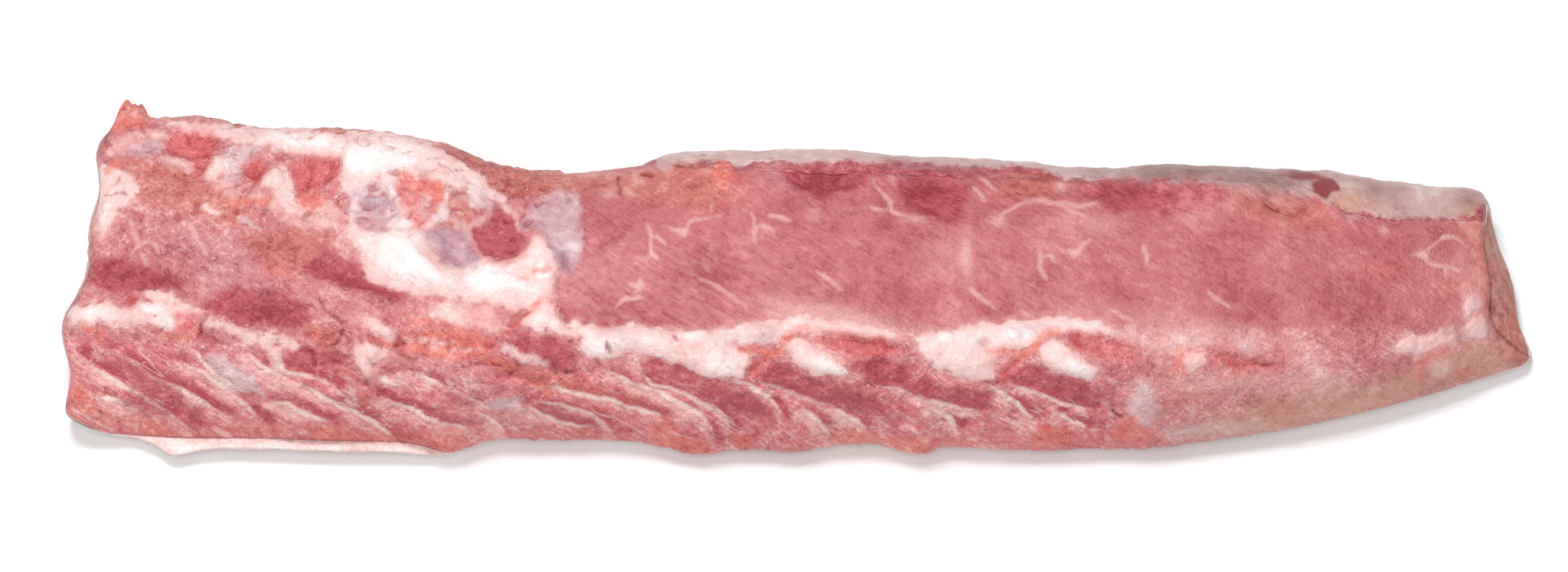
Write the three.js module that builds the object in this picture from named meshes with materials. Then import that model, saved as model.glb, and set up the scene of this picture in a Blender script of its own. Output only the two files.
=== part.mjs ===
// A whole boneless loin of pork, raw, lying on its fat with the side that the bones came off turned up.
// Millimetres. +X runs along the loin from the shoulder end to the rump end, +Y from the chine (backbone)
// side to the belly side, and +Z up. The origin is on the resting plane, under the middle of the loin.
//
// The outer surface is a loft. At each place along the loin a closed B-spline goes once round the section,
// and "round" counts its control points: foot of the chine face, ridge, top, belly side, base.
// The lean is that surface sunk where the fat covers it, and the fat cap fills the space between the two.
import * as THREE from "three";

// ---- Driving dimensions ----
const LENGTH = 700;
const END = LENGTH / 2;
const GAP = 0.35; // between the lean and the fat cap
const FAT = { base: 8.5, chineEdge: 3.2, bellyEdge: 3.4, rumpBand: 8 }; // thickness of the fat cap
const FACE_TILT = THREE.MathUtils.degToRad(25); // the plane on which the bone side is laid out, see faceUp()

// The section at places along the loin: y of the foot, ridge and belly edge, and heights of the ridge,
// the crown of the eye muscle and the belly shoulder.
const PLACES = {
  x: [-350, -300, -262, -225, -175, -146, -90, -40, 40, 130, 220, 290, 350],
  footY: [-76, -79, -79, -80, -80, -77.5, -79.5, -82, -81, -84, -74.5, -57.5, -37.5],
  ridgeY: [-42, -45, -52, -59, -59, -58, -58, -59, -59, -59, -55, -42, -24],
  ridgeZ: [54, 60, 62, 64, 65, 65, 65, 66, 66, 64, 58, 49, 37],
  crownZ: [52, 57, 60, 63, 65, 66, 69, 71, 70, 67, 61, 52, 40],
  bellyY: [80, 84, 75, 74, 67, 54, 56, 62, 60, 54.5, 54.5, 48.5, 45],
  bellyZ: [46, 49, 51, 53, 51, 49, 50, 56, 56, 52, 51, 45, 37],
};

// Where the fat cap's two edges lie, in control points round the section. The chine edge is near the
// foot. The belly edge is low at the shoulder end, and laps over the top on the rump half.
const FAT_EDGES = {
  x: [-350, -200, -145, -82, -58, 120, 236, 262, 330, 350],
  chine: [0.95, 1.0, 0.55, 0.45, 0.4, 0.4, 0.55, 0.75, 0.9, 0.9],
  belly: [6.9, 6.8, 6.9, 6.75, 5.65, 5.6, 5.6, 5.15, 5.15, 5.2],
};
const FAT_LIP = { from: -338, to: -160, out: 5 }; // the chine edge stands out past the lean here
const FAT_FLAP = { at: -312, half: 16, out: 4 }; // and a little further at this flap

// ---- Mesh sizes ----
const STEPS_ALONG = 95;
const STEPS_FACE = 11; // round the chine face, from the fat's edge up to the ridge
const STEPS_TOP = 19; // over the top, from the ridge to the fat's other edge
const STEPS_UNDER = 10; // under the fat
const CAP_RINGS = [0.86, 0.62, 0.34];

const lerp = THREE.MathUtils.lerp;
const smooth = (t) => THREE.MathUtils.smoothstep(t, 0, 1);
const bell = (t) => Math.exp(-t * t);

// A column of PLACES or FAT_EDGES at x, on a smooth curve through its values.
function along(table, name, x) {
  const xs = table.x;
  const values = table[name];
  const last = xs.length - 1;
  const at = Math.min(Math.max(x, xs[0]), xs[last]);
  let i = 0;
  while (i < last - 1 && at > xs[i + 1]) i++;
  const slope = (k) => {
    const a = Math.max(k - 1, 0);
    const b = Math.min(k + 1, last);
    return (values[b] - values[a]) / (xs[b] - xs[a]);
  };
  const span = xs[i + 1] - xs[i];
  const t = (at - xs[i]) / span;
  const t2 = t * t;
  const t3 = t2 * t;
  return (
    (2 * t3 - 3 * t2 + 1) * values[i] +
    (t3 - 2 * t2 + t) * span * slope(i) +
    (3 * t2 - 2 * t3) * values[i + 1] +
    (t3 - t2) * span * slope(i + 1)
  );
}

// ---- The section ----
const RIDGE = 3; // the ridge's control point

// Lobes of meat that hang out past the foot line, and notches between them: place, half length, amount.
const LOBES = [
  [-168, 14, 5.5],
  [-51, 17, 3.5],
  [-4, 14, 2],
  [54, 12, 4.2],
  [66, 7, -2],
];

function lobes(x) {
  return LOBES.reduce((sum, [at, half, out]) => sum + out * bell((x - at) / half), 0);
}

function controlPoints(x) {
  const foot = along(PLACES, "footY", x) - lobes(x);
  const ridgeY = along(PLACES, "ridgeY", x);
  const ridgeZ = along(PLACES, "ridgeZ", x);
  const crownZ = along(PLACES, "crownZ", x);
  const bellyY = along(PLACES, "bellyY", x);
  const bellyZ = along(PLACES, "bellyZ", x);
  return [
    [foot + 9, -0.5], // 0 base, chine side
    [foot - 1, 9], // 1 foot of the chine face
    [lerp(foot, ridgeY, 0.42) - 3, lerp(9, ridgeZ, 0.52)], // 2 middle of the chine face
    [ridgeY, ridgeZ], // 3 ridge
    [lerp(ridgeY, bellyY, 0.28), lerp(ridgeZ, crownZ, 0.5)], // 4 beside the ridge
    [lerp(ridgeY, bellyY, 0.66), crownZ], // 5 crown of the eye muscle
    [bellyY - 1, bellyZ], // 6 belly shoulder
    [bellyY + 4, bellyZ * 0.42], // 7 belly side
    [bellyY - 9, -0.5], // 8 base, belly side
    [lerp(foot, bellyY, 0.64), -0.5], // 9 base
    [lerp(foot, bellyY, 0.36), -0.5], // 10 base
  ];
}

// A point of the closed cubic B-spline, and the outward normal there, both in the section's plane.
function sectionAt(points, round) {
  const n = points.length;
  const whole = Math.floor(round);
  const t = round - whole;
  const weights = [(1 - t) ** 3, 3 * t ** 3 - 6 * t ** 2 + 4, -3 * t ** 3 + 3 * t ** 2 + 3 * t + 1, t ** 3];
  const slopes = [-3 * (1 - t) ** 2, 9 * t ** 2 - 12 * t, -9 * t ** 2 + 6 * t + 3, 3 * t ** 2];
  let y = 0;
  let z = 0;
  let dy = 0;
  let dz = 0;
  for (let k = 0; k < 4; k++) {
    const p = points[(((whole + k - 1) % n) + n) % n];
    y += (weights[k] * p[0]) / 6;
    z += (weights[k] * p[1]) / 6;
    dy += slopes[k] * p[0];
    dz += slopes[k] * p[1];
  }
  const size = Math.hypot(dy, dz);
  return { y, z, ny: -dz / size, nz: dy / size };
}

// ---- The two cut ends ----
// How far the ends' true outline lies from a straight cut. The shoulder end slants back towards the belly
// and is rounded off at the foot. The rump end is cut slantwise, so that its face looks up and outwards.
function endShift(x, y, z) {
  const up = faceUp(y, z);
  const corner = 11 * smooth((up + 15) / 48) + 5 * smooth((up - 70) / 20);
  const shoulder = corner + 26 * smooth((-52 - up) / 18) + 1.8 * Math.sin(up / 7);
  const faceFoot = 0.5 - 0.22 * Math.max(y + 29, 0);
  const rump = lerp(faceFoot, -23, smooth(z / 40)) + Math.sin(up / 6);
  const fade = (t) => (t < 1 ? (1 - t) ** 2 : 0);
  return shoulder * fade((x + END) / 105) + rump * fade((END - x) / 80);
}

// The bone side laid out flat: a plane tilted towards the chine face, so that it takes in the top and
// that face together. This is the distance up that plane.
function faceUp(y, z) {
  return y * Math.cos(FACE_TILT) + z * Math.sin(FACE_TILT);
}

// ---- Relief of the bone side ----
const SEAM = {
  x: [-350, -290, -247, -217, -150, -90, 236, 310, 350],
  up: [-14, -17, -22, -27, -29, -29, -30, -27, -27],
};
const BUNDLE = { pitch: 24, slope: 1.9, height: 2.6 }; // the diagonal muscle bundles of the chine face

// Mounds (and, where the height is negative, hollows) on the bone side: place, half length and half
// width, turn in degrees, height.
const MOUNDS = [
  // cord of fat and gristle on the seam at the shoulder end
  [-342, -7, 9, 7, 0, 3.5],
  [-318, -6, 13, 7, -5, 4],
  [-293, -11, 8, 7, -20, 4.5],
  [-283, -16, 9, 4, -40, -3],
  [-275, -11, 10, 4, -25, 2.5],
  [-256, -21, 11, 5, -25, 2],
  // torn tissue where the seam turns in under the bone scars
  [-228, -16, 9, 5, 0, -3.2],
  [-201, -13, 8, 4, 0, 3],
  [-205, -23, 8, 4, -5, 2.6],
  [-207, -30, 6, 5, -40, 3],
  [-172, -19, 22, 6, -5, -2.4],
  [-134, -5, 11, 4, 42, -3],
  [-127, -8, 8, 7, 30, 2.6],
  [-127, -24, 18, 7, -8, 2.4],
  [-137, -35, 14, 4, -25, -2.6],
  // knobs of fat and the red pits between them, where the vertebrae were cut away
  [-86, -17, 30, 6, 0, 2],
  [-50, -25, 18, 8, -20, 3],
  [-34, -18, 6, 5, -20, -2.5],
  [-22, -14, 12, 6, -20, 1.8],
  [6, -28, 16, 7, -15, 4],
  [23, -21, 17, 7, -12, -1.6],
  [71, -26, 18, 8, -20, 3],
  [85, -18, 6, 5, 0, -2.4],
  [126, -28, 15, 7, -15, 4],
  [141, -21, 16, 7, -12, -1.6],
  [184, -29, 9, 6, -10, 1.6],
  [209, -29, 18, 6, -5, -1.2],
  [161, -48, 8, 10, 0, 2.4],
  [305, -24, 16, 8, 0, 1.6],
  [333, -10, 8, 6, 0, 2],
  // bone scars, gristle and fat at the shoulder end
  [-295, 75, 15, 10, -15, -2.6],
  [-276, 68, 10, 9, 0, 1.6],
  [-265, 63, 8, 8, 0, -2],
  [-255, 56, 7, 10, 0, 2.4],
  [-236, 57, 12, 14, 0, -2.6],
  [-211, 65, 13, 6, 0, 2],
  [-215, 75, 45, 8, -5, 3],
  [-209, 48, 13, 14, 0, -3],
  [-182, 50, 12, 13, 0, 2.4],
  [-165, 24, 12, 11, -20, -2.4],
  [-150, 31, 15, 14, 0, -2],
  [-180, 18, 30, 7, -33, 3.4],
  [-141, 12, 22, 9, -30, 3],
  [-203, 10, 32, 6, -20, -3],
  [-152, 66, 14, 6, -35, 2],
  // the flat muscle of the shoulder end
  [-301, 54, 30, 18, -10, 1.5],
  [-290, 20, 38, 18, -20, 2.2],
  [-240, 0, 34, 14, -15, 2],
  [-175, -6, 24, 7, -20, 1.5],
  // the eye muscle, and the gullies along its belly edge
  [-60, 33, 46, 24, 0, 1.6],
  [60, 25, 60, 26, 0, 1.4],
  [186, 17, 60, 24, 0, 1.4],
  [18, 53, 9, 12, 60, -1.8],
  [88, 47, 16, 6, -10, -1.8],
  [232, 45, 18, 6, -25, -2.4],
  [258, 42, 10, 8, 0, 2],
  [292, 35, 22, 10, 0, 1.2],
];

// The torn end of the belly side that stands up at the shoulder corner.
const TORN_TIPS = [
  [-328, 86, 6.5, 9, 13],
  [-320, 85, 4.5, 7, 7],
];

function seamUp(x) {
  return along(SEAM, "up", x);
}

// Muscle bundles run down the chine face towards the rump end, with a crease between each two.
function bundles(x, up) {
  const below = seamUp(x) - up;
  const phase = (x + BUNDLE.slope * up + 5 * Math.sin(x / 61)) / BUNDLE.pitch;
  const across = phase - Math.floor(phase);
  const swell = Math.sqrt(Math.sin(Math.PI * across)) - 0.55;
  return BUNDLE.height * swell * smooth(below / 9) * smooth((175 - x) / 50);
}

function mounds(x, up) {
  let sum = 0;
  for (const [cx, cup, long, wide, turn, height] of MOUNDS) {
    const a = THREE.MathUtils.degToRad(turn);
    const dx = x - cx;
    const du = up - cup;
    const p = (dx * Math.cos(a) + du * Math.sin(a)) / long;
    const q = (du * Math.cos(a) - dx * Math.sin(a)) / wide;
    sum += height * bell(Math.hypot(p, q));
  }
  return sum;
}

// The eye muscle's surface lies lower than the skin and fat round it, from the edge of the silver skin on.
function eyeStep(x, up) {
  const edge = -108 + 2.5 * Math.sin(up / 5);
  const inEye = smooth((x - edge) / 5) * smooth((up + 16) / 8);
  return -1.6 * inEye * smooth((250 - x) / 200);
}

function waves(x, up) {
  return (
    0.55 * Math.sin(x / 17 + up / 23) +
    0.5 * Math.sin(up / 11 - x / 31 + 1.3) +
    0.4 * Math.sin(x / 9.1 + 2 * Math.sin(up / 14))
  );
}

function relief(x, up) {
  return bundles(x, up) + mounds(x, up) + eyeStep(x, up) + waves(x, up);
}

function tornTips(x, up) {
  let sum = 0;
  for (const [cx, cup, long, wide, out] of TORN_TIPS)
    sum += out * bell(Math.hypot((x - cx) / long, (up - cup) / wide));
  return sum;
}

// ---- Points of the two pieces ----
function place(x, p, out) {
  const y = p.y + p.ny * out;
  const z = Math.max(p.z + p.nz * out, 0);
  return [x, y, z];
}

function shifted([x, y, z]) {
  return [x + endShift(x, y, z), y, z];
}

// The fat cap's thickness, from its belly edge (0) to its chine edge (1).
function fatThickness(x, share) {
  const belly = lerp(FAT.bellyEdge, FAT.rumpBand, smooth((x - 225) / 35));
  const side = lerp(belly, FAT.base, smooth(share / 0.35));
  return lerp(side, FAT.chineEdge, smooth((share - 0.8) / 0.2));
}

// Points round the lean at one place: up the chine face, over the top, then back under the fat.
function leanRing(x) {
  const points = controlPoints(x);
  const chine = along(FAT_EDGES, "chine", x);
  const belly = along(FAT_EDGES, "belly", x);
  const ring = [];
  for (let j = 1; j < STEPS_FACE + STEPS_TOP; j++) {
    const onFace = j < STEPS_FACE;
    const round = onFace ? lerp(chine, RIDGE, j / STEPS_FACE) : lerp(RIDGE, belly, (j - STEPS_FACE) / STEPS_TOP);
    const p = sectionAt(points, round);
    const up = faceUp(p.y, p.z);
    const truly = x + endShift(x, p.y, p.z);
    const open = smooth(j / 2.5) * smooth((STEPS_FACE + STEPS_TOP - j) / 2.5);
    const at = place(truly, p, relief(truly, up) * open);
    at[1] += tornTips(truly, up);
    ring.push(at);
  }
  for (let j = 0; j <= STEPS_UNDER; j++) {
    const share = j / STEPS_UNDER;
    const p = sectionAt(points, lerp(belly, chine + points.length, share));
    ring.push(shifted(sunk(x, p, fatThickness(x, share) + GAP)));
  }
  return ring;
}

// A point inside the section's outline, at a depth below it.
function sunk(x, p, depth) {
  return [x, p.y - p.ny * depth, p.z - p.nz * depth];
}

function fatLip(x, share) {
  const inLip = smooth((x - FAT_LIP.from) / 25) * smooth((FAT_LIP.to - x) / 30);
  const out = FAT_LIP.out + FAT_FLAP.out * bell((x - FAT_FLAP.at) / FAT_FLAP.half);
  return out * inLip * smooth((share - 0.82) / 0.18);
}

function fatWaves(x, share) {
  const side = smooth(share / 0.05) * smooth((0.3 - share) / 0.2);
  const edge = 1.3 * smooth((0.12 - share) / 0.12) * Math.sin(x / 8 + 2 * Math.sin(x / 27));
  return 0.9 * side * Math.sin(x / 13 + 5 * share) + Math.max(edge, 0);
}

function fatRing(x) {
  const points = controlPoints(x);
  const chine = along(FAT_EDGES, "chine", x);
  const belly = along(FAT_EDGES, "belly", x);
  const outer = [];
  const inner = [];
  for (let j = 0; j <= STEPS_UNDER; j++) {
    const share = j / STEPS_UNDER;
    const p = sectionAt(points, lerp(belly, chine + points.length, share));
    const at = place(x, p, fatWaves(x, share));
    at[1] -= fatLip(x, share);
    outer.push(shifted(at));
    inner.push(shifted(sunk(x, p, fatThickness(x, share))));
  }
  return outer.concat(inner.reverse());
}

// ---- Meshes ----
// Joins rows of points that each go round the piece. The quads are cut along the muscle bundles.
function bandTriangles(rows, triangles, indexOf) {
  const count = rows[0].length;
  for (let i = 0; i + 1 < rows.length; i++)
    for (let j = 0; j < count; j++) {
      const next = (j + 1) % count;
      const [a, b, c, d] = [indexOf(i, j), indexOf(i + 1, j), indexOf(i + 1, next), indexOf(i, next)];
      triangles.push(a, b, d, b, c, d);
    }
}

function geometryFrom(points, triangles) {
  const geometry = new THREE.BufferGeometry();
  geometry.setAttribute("position", new THREE.Float32BufferAttribute(points.flat(), 3));
  geometry.setIndex(triangles);
  geometry.computeVertexNormals();
  return geometry;
}

function middleOf(ring) {
  return [0, 1, 2].map((axis) => ring.reduce((sum, p) => sum + p[axis], 0) / ring.length);
}

// A cut end, as rings that shrink to the middle of the section. The meat stands a little proud of the fat.
function endRings(ring, outwards) {
  const middle = middleOf(ring);
  const swell = (share) => outwards * 2.2 * (1 - share * share);
  return CAP_RINGS.map((share) =>
    ring.map(([x, y, z]) => {
      const cy = lerp(middle[1], y, share);
      const cz = lerp(middle[2], z, share);
      const straight = lerp(middle[0], x, share);
      return [straight + swell(share) * (1 + 0.3 * Math.sin(cy / 9) * Math.sin(cz / 8)), cy, cz];
    }),
  );
}

function leanGeometry(stations) {
  const body = stations.map(leanRing);
  const first = body[0];
  const last = body[body.length - 1];
  const rows = [...endRings(first, -1).reverse(), ...body, ...endRings(last, 1)];
  const count = first.length;
  const points = rows.flat();
  const triangles = [];
  bandTriangles(rows, triangles, (i, j) => i * count + j);
  const poles = [middleOf(rows[0]), middleOf(rows[rows.length - 1])];
  const [start, finish] = [points.length, points.length + 1];
  points.push(...poles);
  const lastRow = (rows.length - 1) * count;
  for (let j = 0; j < count; j++) {
    const next = (j + 1) % count;
    triangles.push(start, j, next, finish, lastRow + next, lastRow + j);
  }
  return geometryFrom(points, triangles);
}

function fatGeometry(stations) {
  const rows = stations.map(fatRing);
  const count = rows[0].length;
  const triangles = [];
  bandTriangles(rows, triangles, (i, j) => i * count + j);
  const lastRow = (rows.length - 1) * count;
  for (let j = 0; j < STEPS_UNDER; j++) {
    const [outer, outerNext, innerNext, inner] = [j, j + 1, count - 2 - j, count - 1 - j];
    triangles.push(outer, outerNext, innerNext, outer, innerNext, inner);
    triangles.push(lastRow + outerNext, lastRow + outer, lastRow + innerNext);
    triangles.push(lastRow + innerNext, lastRow + outer, lastRow + inner);
  }
  return geometryFrom(rows.flat(), triangles);
}

// ---- The loin ----
const stations = Array.from({ length: STEPS_ALONG + 1 }, (_, i) => lerp(-END, END, i / STEPS_ALONG));

const lean = new THREE.Mesh(
  leanGeometry(stations),
  new THREE.MeshStandardMaterial({ color: 0xc4747a, roughness: 0.42, metalness: 0 }),
);
lean.name = "lean";

const fatCap = new THREE.Mesh(
  fatGeometry(stations),
  new THREE.MeshStandardMaterial({ color: 0xe9d3cb, roughness: 0.5, metalness: 0 }),
);
fatCap.name = "fat_cap";

const loin = new THREE.Group();
loin.add(lean, fatCap);

// The origin goes under the middle of the loin's box.
const box = new THREE.Box3().setFromObject(loin);
const middle = box.getCenter(new THREE.Vector3());
loin.position.set(-middle.x, -middle.y, -box.min.z);

export default loin;
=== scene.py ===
"""A whole raw loin of pork, boned, lying on its fat with the bone side up.

All sizes here are in millimetres, and are turned into metres where a mesh is made. The loin's own frame is
the solids' one: +X runs from the shoulder end to the rump end, +Y from the chine side to the belly side.
"""

import itertools
import math

import bpy
import numpy as np
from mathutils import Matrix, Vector


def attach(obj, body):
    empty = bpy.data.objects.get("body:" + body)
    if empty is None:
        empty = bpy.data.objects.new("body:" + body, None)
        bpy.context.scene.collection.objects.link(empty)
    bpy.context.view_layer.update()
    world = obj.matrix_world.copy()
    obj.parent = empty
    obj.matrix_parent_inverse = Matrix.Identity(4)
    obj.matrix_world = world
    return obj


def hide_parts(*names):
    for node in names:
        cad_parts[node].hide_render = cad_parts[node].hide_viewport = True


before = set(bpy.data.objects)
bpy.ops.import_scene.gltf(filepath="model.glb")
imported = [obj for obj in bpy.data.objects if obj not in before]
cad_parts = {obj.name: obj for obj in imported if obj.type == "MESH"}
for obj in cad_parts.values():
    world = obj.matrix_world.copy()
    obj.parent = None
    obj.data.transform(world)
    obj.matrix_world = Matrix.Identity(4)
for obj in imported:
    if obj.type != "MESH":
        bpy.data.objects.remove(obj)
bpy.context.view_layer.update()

MM = 0.001

# ---------- The form of the loin, as its solids have it ----------
END = 350
GAP = 0.35  # between the lean and its fat
FAT = {"base": 8.5, "chine_edge": 3.2, "belly_edge": 3.4, "rump_band": 8}
FACE_TILT = math.radians(25)
OUTLINE_FOOT = -0.5  # the height of the underside's control points, a little below the board
SHOULDER_BEND, RUMP_BEND = 105, 80  # how far in from each cut end its slant is felt
BOX_MIDDLE = (-0.24, 4.97)  # the middle of the loin's box, in the x and y of the tables below

PLACES = {
    "x": [-350, -300, -262, -225, -175, -146, -90, -40, 40, 130, 220, 290, 350],
    "foot_y": [-76, -79, -79, -80, -80, -77.5, -79.5, -82, -81, -84, -74.5, -57.5, -37.5],
    "ridge_y": [-42, -45, -52, -59, -59, -58, -58, -59, -59, -59, -55, -42, -24],
    "ridge_z": [54, 60, 62, 64, 65, 65, 65, 66, 66, 64, 58, 49, 37],
    "crown_z": [52, 57, 60, 63, 65, 66, 69, 71, 70, 67, 61, 52, 40],
    "belly_y": [80, 84, 75, 74, 67, 54, 56, 62, 60, 54.5, 54.5, 48.5, 45],
    "belly_z": [46, 49, 51, 53, 51, 49, 50, 56, 56, 52, 51, 45, 37],
}
FAT_EDGES = {
    "x": [-350, -200, -145, -82, -58, 120, 236, 262, 330, 350],
    "chine": [0.95, 1.0, 0.55, 0.45, 0.4, 0.4, 0.55, 0.75, 0.9, 0.9],
    "belly": [6.9, 6.8, 6.9, 6.75, 5.65, 5.6, 5.6, 5.15, 5.15, 5.2],
}
FAT_LIP = {"from": -338, "to": -160, "out": 5}
FAT_FLAP = {"at": -312, "half": 16, "out": 4}
LOBES = [(-168, 14, 5.5), (-51, 17, 3.5), (-4, 14, 2), (54, 12, 4.2), (66, 7, -2)]
SEAM = {
    "x": [-350, -290, -247, -217, -150, -90, 236, 310, 350],
    "up": [-14, -17, -22, -27, -29, -29, -30, -27, -27],
}

# Mounds and hollows of the bone side: place, half length, half width, turn in degrees, height.
MOUNDS = [
    # cord of fat and gristle on the seam at the shoulder end
    (-342, -7, 9, 7, 0, 3.5),
    (-318, -6, 13, 7, -5, 4),
    (-293, -11, 8, 7, -20, 4.5),
    (-283, -16, 9, 4, -40, -3),
    (-275, -11, 10, 4, -25, 2.5),
    (-256, -21, 11, 5, -25, 2),
    # torn tissue where the seam turns in under the bone scars
    (-228, -16, 9, 5, 0, -3.2),
    (-201, -13, 8, 4, 0, 3),
    (-205, -23, 8, 4, -5, 2.6),
    (-207, -30, 6, 5, -40, 3),
    (-172, -19, 22, 6, -5, -2.4),
    (-134, -5, 11, 4, 42, -3),
    (-127, -8, 8, 7, 30, 2.6),
    (-127, -24, 18, 7, -8, 2.4),
    (-137, -35, 14, 4, -25, -2.6),
    # knobs of fat and the red pits between them, where the vertebrae were cut away
    (-86, -17, 30, 6, 0, 2),
    (-50, -25, 18, 8, -20, 3),
    (-34, -18, 6, 5, -20, -2.5),
    (-22, -14, 12, 6, -20, 1.8),
    (6, -28, 16, 7, -15, 4),
    (23, -21, 17, 7, -12, -1.6),
    (71, -26, 18, 8, -20, 3),
    (85, -18, 6, 5, 0, -2.4),
    (126, -28, 15, 7, -15, 4),
    (141, -21, 16, 7, -12, -1.6),
    (184, -29, 9, 6, -10, 1.6),
    (209, -29, 18, 6, -5, -1.2),
    (161, -48, 8, 10, 0, 2.4),
    (305, -24, 16, 8, 0, 1.6),
    (333, -10, 8, 6, 0, 2),
    # bone scars, gristle and fat at the shoulder end
    (-295, 75, 15, 10, -15, -2.6),
    (-276, 68, 10, 9, 0, 1.6),
    (-265, 63, 8, 8, 0, -2),
    (-255, 56, 7, 10, 0, 2.4),
    (-236, 57, 12, 14, 0, -2.6),
    (-211, 65, 13, 6, 0, 2),
    (-215, 75, 45, 8, -5, 3),
    (-209, 48, 13, 14, 0, -3),
    (-182, 50, 12, 13, 0, 2.4),
    (-165, 24, 12, 11, -20, -2.4),
    (-150, 31, 15, 14, 0, -2),
    (-180, 18, 30, 7, -33, 3.4),
    (-141, 12, 22, 9, -30, 3),
    (-203, 10, 32, 6, -20, -3),
    (-152, 66, 14, 6, -35, 2),
    # the flat muscle of the shoulder end
    (-301, 54, 30, 18, -10, 1.5),
    (-290, 20, 38, 18, -20, 2.2),
    (-240, 0, 34, 14, -15, 2),
    (-175, -6, 24, 7, -20, 1.5),
    # the eye muscle, and the gullies along its belly edge
    (-60, 33, 46, 24, 0, 1.6),
    (60, 25, 60, 26, 0, 1.4),
    (186, 17, 60, 24, 0, 1.4),
    (18, 53, 9, 12, 60, -1.8),
    (88, 47, 16, 6, -10, -1.8),
    (232, 45, 18, 6, -25, -2.4),
    (258, 42, 10, 8, 0, 2),
    (292, 35, 22, 10, 0, 1.2),
]
# Knobs of the torn tip: place, half length, half width, how far each sticks out.
TORN_TIPS = [
    (-325.5, 81, 8, 11, 7),
    (-329, 87, 3.4, 7, 4.5),
    (-321.5, 87, 3.0, 6, 3.5),
    (-333.5, 76, 3.0, 5, 3),
    (-318.5, 80, 2.6, 4, 2.5),
]


def smooth(t):
    """0 below 0, 1 above 1, and an even swing between."""
    t = np.clip(t, 0, 1)
    return t * t * (3 - 2 * t)


def bell(t):
    return np.exp(-t * t)


def mix(a, b, share):
    return a + (b - a) * share


def along(table, name, x):
    """A row of a table at each x, on a smooth curve through its values."""
    xs = np.array(table["x"], float)
    values = np.array(table[name], float)
    last = len(xs) - 1
    before = np.clip(np.arange(last + 1) - 1, 0, last)
    after = np.clip(np.arange(last + 1) + 1, 0, last)
    slopes = (values[after] - values[before]) / (xs[after] - xs[before])
    at = np.clip(x, xs[0], xs[-1])
    i = np.clip(np.searchsorted(xs, at, "right") - 1, 0, last - 1)
    span = xs[i + 1] - xs[i]
    t = (at - xs[i]) / span
    start = (2 * t**3 - 3 * t**2 + 1) * values[i] + (t**3 - 2 * t**2 + t) * span * slopes[i]
    return start + (3 * t**2 - 2 * t**3) * values[i + 1] + (t**3 - t**2) * span * slopes[i + 1]


def noise(points, size, seed):
    """Even unevenness, about -1 to 1, with swells of this size, at points in space."""
    random = np.random.default_rng(seed)
    order = random.permutation(256)
    slopes = random.normal(size=(256, 3))
    slopes /= np.linalg.norm(slopes, axis=1, keepdims=True)
    at = points / size
    cell = np.floor(at).astype(int)
    inside = at - cell
    ease = inside**3 * (inside * (inside * 6 - 15) + 10)
    total = 0
    for corner in itertools.product((0, 1), repeat=3):
        which = (cell + corner) & 255
        pick = order[(order[(order[which[..., 0]] + which[..., 1]) & 255] + which[..., 2]) & 255]
        weight = np.prod(np.where(corner, ease, 1 - ease), axis=-1)
        total = total + weight * (slopes[pick] * (inside - corner)).sum(-1)
    return 1.6 * total


def control_points(x):
    """The section's eleven control points at each x: chine foot, ridge, top, belly side and base."""
    foot = along(PLACES, "foot_y", x) - sum(out * bell((x - at) / half) for at, half, out in LOBES)
    ridge_y, ridge_z, crown_z, belly_y, belly_z = (
        along(PLACES, name, x) for name in ("ridge_y", "ridge_z", "crown_z", "belly_y", "belly_z")
    )
    low = np.full_like(x, OUTLINE_FOOT)
    rows = [
        (foot + 9, low),
        (foot - 1, low + 9.5),
        (mix(foot, ridge_y, 0.42) - 3, mix(9, ridge_z, 0.52)),
        (ridge_y, ridge_z),
        (mix(ridge_y, belly_y, 0.28), mix(ridge_z, crown_z, 0.5)),
        (mix(ridge_y, belly_y, 0.66), crown_z),
        (belly_y - 1, belly_z),
        (belly_y + 4, belly_z * 0.42),
        (belly_y - 9, low),
        (mix(foot, belly_y, 0.64), low),
        (mix(foot, belly_y, 0.36), low),
    ]
    return np.stack([np.stack(row, -1) for row in rows], 1)


def section_at(points, turn):
    """Points (y, z) and outward normals of the closed B-spline through each station's control points."""
    whole = np.floor(turn).astype(int)
    t = turn - whole
    weights = [(1 - t) ** 3, 3 * t**3 - 6 * t**2 + 4, -3 * t**3 + 3 * t**2 + 3 * t + 1, t**3]
    slopes = [-3 * (1 - t) ** 2, 9 * t**2 - 12 * t, -9 * t**2 + 6 * t + 3, 3 * t**2]
    station = np.arange(len(points))[:, None]
    place, lean_to = 0, 0
    for k in range(4):
        corner = points[station, (whole + k - 1) % points.shape[1]]
        place = place + weights[k][..., None] * corner / 6
        lean_to = lean_to + slopes[k][..., None] * corner
    lean_to /= np.linalg.norm(lean_to, axis=-1, keepdims=True)
    normal = np.stack([-lean_to[..., 1], lean_to[..., 0]], -1)
    return place, normal


def face_up(place):
    """The distance up the bone side, laid out as one tilted plane."""
    return place[..., 0] * math.cos(FACE_TILT) + place[..., 1] * math.sin(FACE_TILT)


def laid_out(up):
    """The same distance, but running on past the top of each section instead of down again."""
    top = up.argmax(1)[:, None]
    column = np.arange(up.shape[1])[None, :]
    return np.where(column > top, 2 * np.take_along_axis(up, top, 1) - up, up)


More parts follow.
